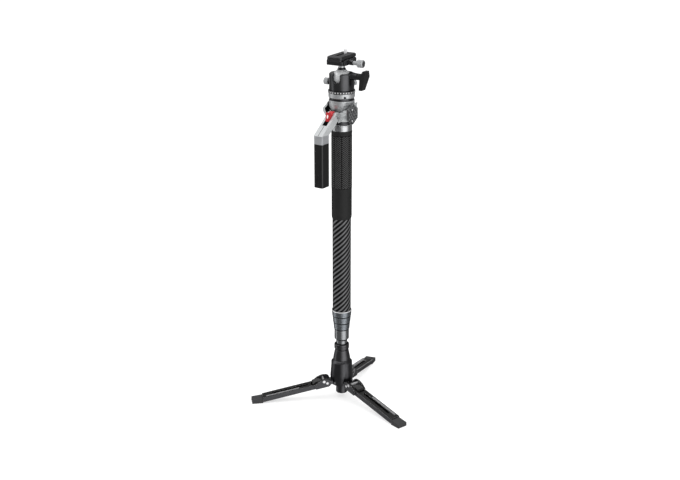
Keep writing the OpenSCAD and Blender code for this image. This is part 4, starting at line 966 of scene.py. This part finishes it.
clampKnob = dict(node="clamp_knob", body="jaw_knob", turn=330, z=681.7, screw=2.6, screwFrom=6.2,
                 neck=(3.8, 25.3), low=34.4, high=46.5, radius=7.4, ridges=26, plainEnd=1.3)
frictionKnob = dict(node="friction_knob", body="friction", turn=150, z=642.5, screw=2.5, screwFrom=19.6,
                    low=27.5, high=36.6, radius=6.5, ridges=24, plainEnd=1.3)
panLockKnob = dict(node="pan_lock_knob", body="pan_lock", turn=30, z=639.5, screw=2.0, screwFrom=19.6,
                   low=24.8, high=30.8, radius=5.0, ridges=20, plainEnd=1.0)
makeKnob("clampKnob", clampKnob)
makeKnob("frictionKnob", frictionKnob)
makeKnob("panLockKnob", panLockKnob)

# Clamp and plate

# the clamp's bevelled edges get the painted highlight
finished(softened("clamp_base", "clampBase", 0.5, 3, edgeSlot=1), "clamp", "black_aluminium",
         material["blackHead"], material["edgeHighlight"], replaces="clamp_base")
finished(softened("clamp_jaw", "clampJaw", 0.5, 3, edgeSlot=1), "jaw", "black_aluminium",
         material["blackHead"], material["edgeHighlight"], replaces="clamp_jaw")
plate = dict(length=29.0, width=15.5, low=685.5, top=695.9, corner=3.2, slotHalf=21.0, slotWidth=3.4,
             channelHalf=24.0, channelWidth=6.1)


def slab(halfLong, halfWide, corner, z, steps=96):
    # one loop of a slab: a rounded rectangle, its points at even turns of the corner's arc and
    # along the sides
    loop = []
    for sx, sy, start in ((1, 1, 0), (-1, 1, 90), (-1, -1, 180), (1, -1, 270)):
        for a in np.radians(np.linspace(start, start + 90, steps // 4)):
            x = sx * (halfLong - corner) + corner * math.cos(a)
            y = sy * (halfWide - corner) + corner * math.sin(a)
            loop.append((x, y, z))
    return loop


def makeCameraPlate(g):
    # loops from the channel under the plate up through its slot, over the grooved top, down the
    # sides and back under the dovetail
    top, low, c = g["top"], g["low"], g["corner"]
    loops = [slab(g["channelHalf"], g["channelWidth"], 5.0, low),
             slab(g["channelHalf"], g["channelWidth"], 5.0, low + 3.7),
             slab(g["slotHalf"], g["slotWidth"], 3.35, low + 3.75),
             slab(g["slotHalf"], g["slotWidth"], 3.35, top - 0.5),
             slab(g["slotHalf"] + 0.5, g["slotWidth"] + 0.5, 3.6, top)]
    for inset, drop in ((7.0, 0), (6.6, 0.5), (5.9, 0.5), (5.5, 0), (3.1, 0), (1.6, 0.25)):
        loops.append(slab(g["length"] - inset, g["width"] - inset, max(c - inset * 0.3, 1.5), top - drop))
    for inset, z in ((0.5, top - 1.3), (0.0, top - 2.2), (0.0, low + 4.3), (0.5, low + 3.7)):
        loops.append(slab(g["length"] - inset, g["width"] - inset, c, z))
    loops += [slab(g["length"] - 1.0, g["width"] - 2.4, c - 0.6, low + 3.7),
              slab(g["length"] - 1.0, g["width"] - 2.4, c - 0.6, low + 3.4),
              slab(g["length"] - 1.0, g["width"] - 1.2, c, low + 1.4),
              slab(g["length"] - 1.0, g["width"] - 1.2, c, low + 1.1),
              slab(g["length"] - 1.6, g["width"] - 2.6, c, low)]
    points = np.array(loops)
    faces = gridFaces(len(loops), points.shape[1], True, True)
    return meshFrom("cameraPlate", placed(points.reshape(-1, 3), headFrame), faces, 30)


top = finished(makeCameraPlate(plate), "plate", "black_aluminium", material["plateBlack"],
               material["strongEdgeHighlight"], material["shadeAndSeamBlack"], replaces="camera_plate")


def onTopEdge(c, k):
    # the sloping faces along the plate's upper rim, which get a painted highlight
    fromRim = np.maximum(np.abs(c[:, 0]) - plate["length"], np.abs(c[:, 1]) - plate["width"])
    return (c[:, 2] > plate["top"] - 1.4) & (k[:, 2] > 0.25) & (k[:, 2] < 0.97) & (fromRim > -2.2)


painted(top, 1, headFrame, onTopEdge)
plateEnd = dict(reach=29.0, depth=0.9, low=689.9, high=693.9, halfWidth=12.4, bars=(-11.6, 0.0, 11.6),
                barHalf=1.3)


def makeEndRibs(name, side, g):
    # the ribs round the two pockets of the plate's end: two long bars and three short ones
    boxes = [(-g["halfWidth"], g["halfWidth"], g["high"] - 1.1, g["high"]),
             (-g["halfWidth"], g["halfWidth"], g["low"] - 0.1, g["low"] + 1.0)]
    boxes += [(b - g["barHalf"], b + g["barHalf"], g["low"] + 0.9, g["high"] - 1.0) for b in g["bars"]]
    points, faces = [], []
    for y0, y1, z0, z1 in boxes:
        base = len(points)
        points += [(x, y, z) for x in (side * (g["reach"] - 0.5), side * (g["reach"] + g["depth"]))
                   for y, z in ((y0, z0), (y1, z0), (y1, z1), (y0, z1))]
        quads = [(0, 3, 2, 1), (4, 5, 6, 7), (0, 1, 5, 4), (1, 2, 6, 5), (2, 3, 7, 6), (3, 0, 4, 7)]
        faces += [[base + v for v in (q if side > 0 else q[::-1])] for q in quads]
    piece = meshFrom(name, placed(points, headFrame), faces)
    bevel(piece, 0.3, 2)
    return finished(piece, "plate", "black_aluminium", material["plateBlack"])


makeEndRibs("plateEndRibsFront", 1, plateEnd)
makeEndRibs("plateEndRibsBack", -1, plateEnd)
# the screw's thread as five turned grooves
grooves = (696.6, 697.5, 698.4, 699.3, 700.2)
threads = [point for z in grooves for point in ((3.15, z - 0.3), (2.85, z), (3.15, z + 0.3))]
finished(turned("cameraScrew", [(0, 685.8), (5.6, 685.8, 0.4), (5.6, 688.3, 0.2), (2.78, 688.3),
                                (2.78, 695.9), (3.15, 695.95, 0.1)] + threads
                + [(3.15, 701.6), (2.3, 702.85), (0, 702.85)], headFrame @ Matrix.Translation((-14, 0, 0)),
                steps=64), "screw", "steel", material["screwSilver"], replaces="camera_screw")
print("pieces ready")

# Stage, light and camera

view = dict(distance=2284.38, height=1115.90, pitch=18.93, focal=1242.4, centreX=341.7, centreY=240.06,
            width=680, heightPx=480, sensor=36)
studio = dict(sky=1.0, reflected=0.17, floorTone=0.55, floorGlow=0.55)


def makeStage():
    # a pale floor that glows a little, just under the feet
    half, z = 9000, -0.05
    points = placed([[-half, -half, z], [half, -half, z], [half, half, z], [-half, half, z]],
                    Matrix.Identity(4))
    floor = meshFrom("floor", points, [[0, 1, 2, 3]])
    paper = bpy.data.materials.new("paper")
    paper.use_nodes = True
    shader = paper.node_tree.nodes["Principled BSDF"]
    shader.inputs["Base Color"].default_value = (studio["floorTone"],) * 3 + (1,)
    shader.inputs["Roughness"].default_value = 0.9
    shader.inputs["Specular IOR Level"].default_value = 0.0
    floor.data.materials.append(paper)
    shader.inputs["Emission Color"].default_value = (1, 1, 1, 1)
    shader.inputs["Emission Strength"].default_value = studio["floorGlow"]
    # mirrors see the soft boxes below the floor's line, as in a studio with a table
    floor.visible_glossy = False


def makeWorld():
    # the backdrop is white to the eye and to soft light, and dim to mirrors
    world = bpy.data.worlds.new("studioSky")
    bpy.context.scene.world = world
    world.use_nodes = True
    tree = world.node_tree
    tree.nodes.clear()
    out = tree.nodes.new("ShaderNodeOutputWorld")
    path = tree.nodes.new("ShaderNodeLightPath")
    strength = tree.nodes.new("ShaderNodeMapRange")
    strength.inputs["To Min"].default_value = studio["sky"]
    strength.inputs["To Max"].default_value = studio["reflected"]
    tree.links.new(path.outputs["Is Glossy Ray"], strength.inputs["Value"])
    backdrop = tree.nodes.new("ShaderNodeBackground")
    backdrop.inputs["Color"].default_value = (1, 1, 1, 1)
    tree.links.new(strength.outputs["Result"], backdrop.inputs["Strength"])
    tree.links.new(backdrop.outputs[0], out.inputs[0])


def areaLight(name, azimuth, distance, height, size, brightness, aim=(0, 0, 0.35)):
    # a soft box round the column, its azimuth counted from the camera to the right, as bright as
    # its radiance says
    turn = math.radians(azimuth - 90)
    at = (columnAt[0] * 0.001 + distance * math.cos(turn), columnAt[1] * 0.001 + distance * math.sin(turn),
          height)
    power = brightness * math.pi * size[0] * size[1]
    light = bpy.data.lights.new(name, "AREA")
    light.shape = "RECTANGLE"
    light.size, light.size_y = size
    light.energy = power
    lamp = bpy.data.objects.new(name, light)
    bpy.context.scene.collection.objects.link(lamp)
    lamp.location = at
    lamp.rotation_euler = (Vector(aim) - Vector(at)).to_track_quat("-Z", "Y").to_euler()
    return lamp


def makeCamera():
    # the photograph's camera: its focal length and centre in pixels become a lens and a shift
    camera = bpy.data.cameras.new("photoCamera")
    camera.sensor_fit = "HORIZONTAL"
    camera.sensor_width = view["sensor"]
    camera.lens = view["focal"] / view["width"] * view["sensor"]
    camera.shift_x = -(view["centreX"] - view["width"] / 2) / view["width"]
    camera.shift_y = (view["centreY"] - view["heightPx"] / 2) / view["width"]
    camera.clip_end = 100
    eye = bpy.data.objects.new("photoCamera", camera)
    bpy.context.scene.collection.objects.link(eye)
    eye.location = placed([[0, -view["distance"], view["height"]]], onColumn)[0]
    eye.rotation_euler = (math.radians(90 - view["pitch"]), 0, 0)
    bpy.context.scene.camera = eye


makeStage()
makeWorld()
areaLight("keyWide", 34, 3.2, 0.2, (5.4, 5.6), 0.55, (0.03, 0, 0.2))
areaLight("keyCore", 36, 3.1, 0.2, (2.7, 5.6), 0.75, (0.03, 0, 0.2))
areaLight("stripLeft", -97, 2.6, 0.0, (1.1, 4.4), 0.7, (0.03, 0, 0.0))
areaLight("panelBack", 180, 3.4, 2.3, (5.0, 2.8), 0.2)
areaLight("panelTop", 200, 0.3, 2.6, (3.4, 3.4), 0.9)
areaLight("panelLeft", -95, 2.5, 2.1, (2.4, 1.8), 0.9)
makeCamera()
bpy.context.scene.view_settings.view_transform = "Standard"
bpy.context.scene.view_settings.look = "None"

print("scene ready")
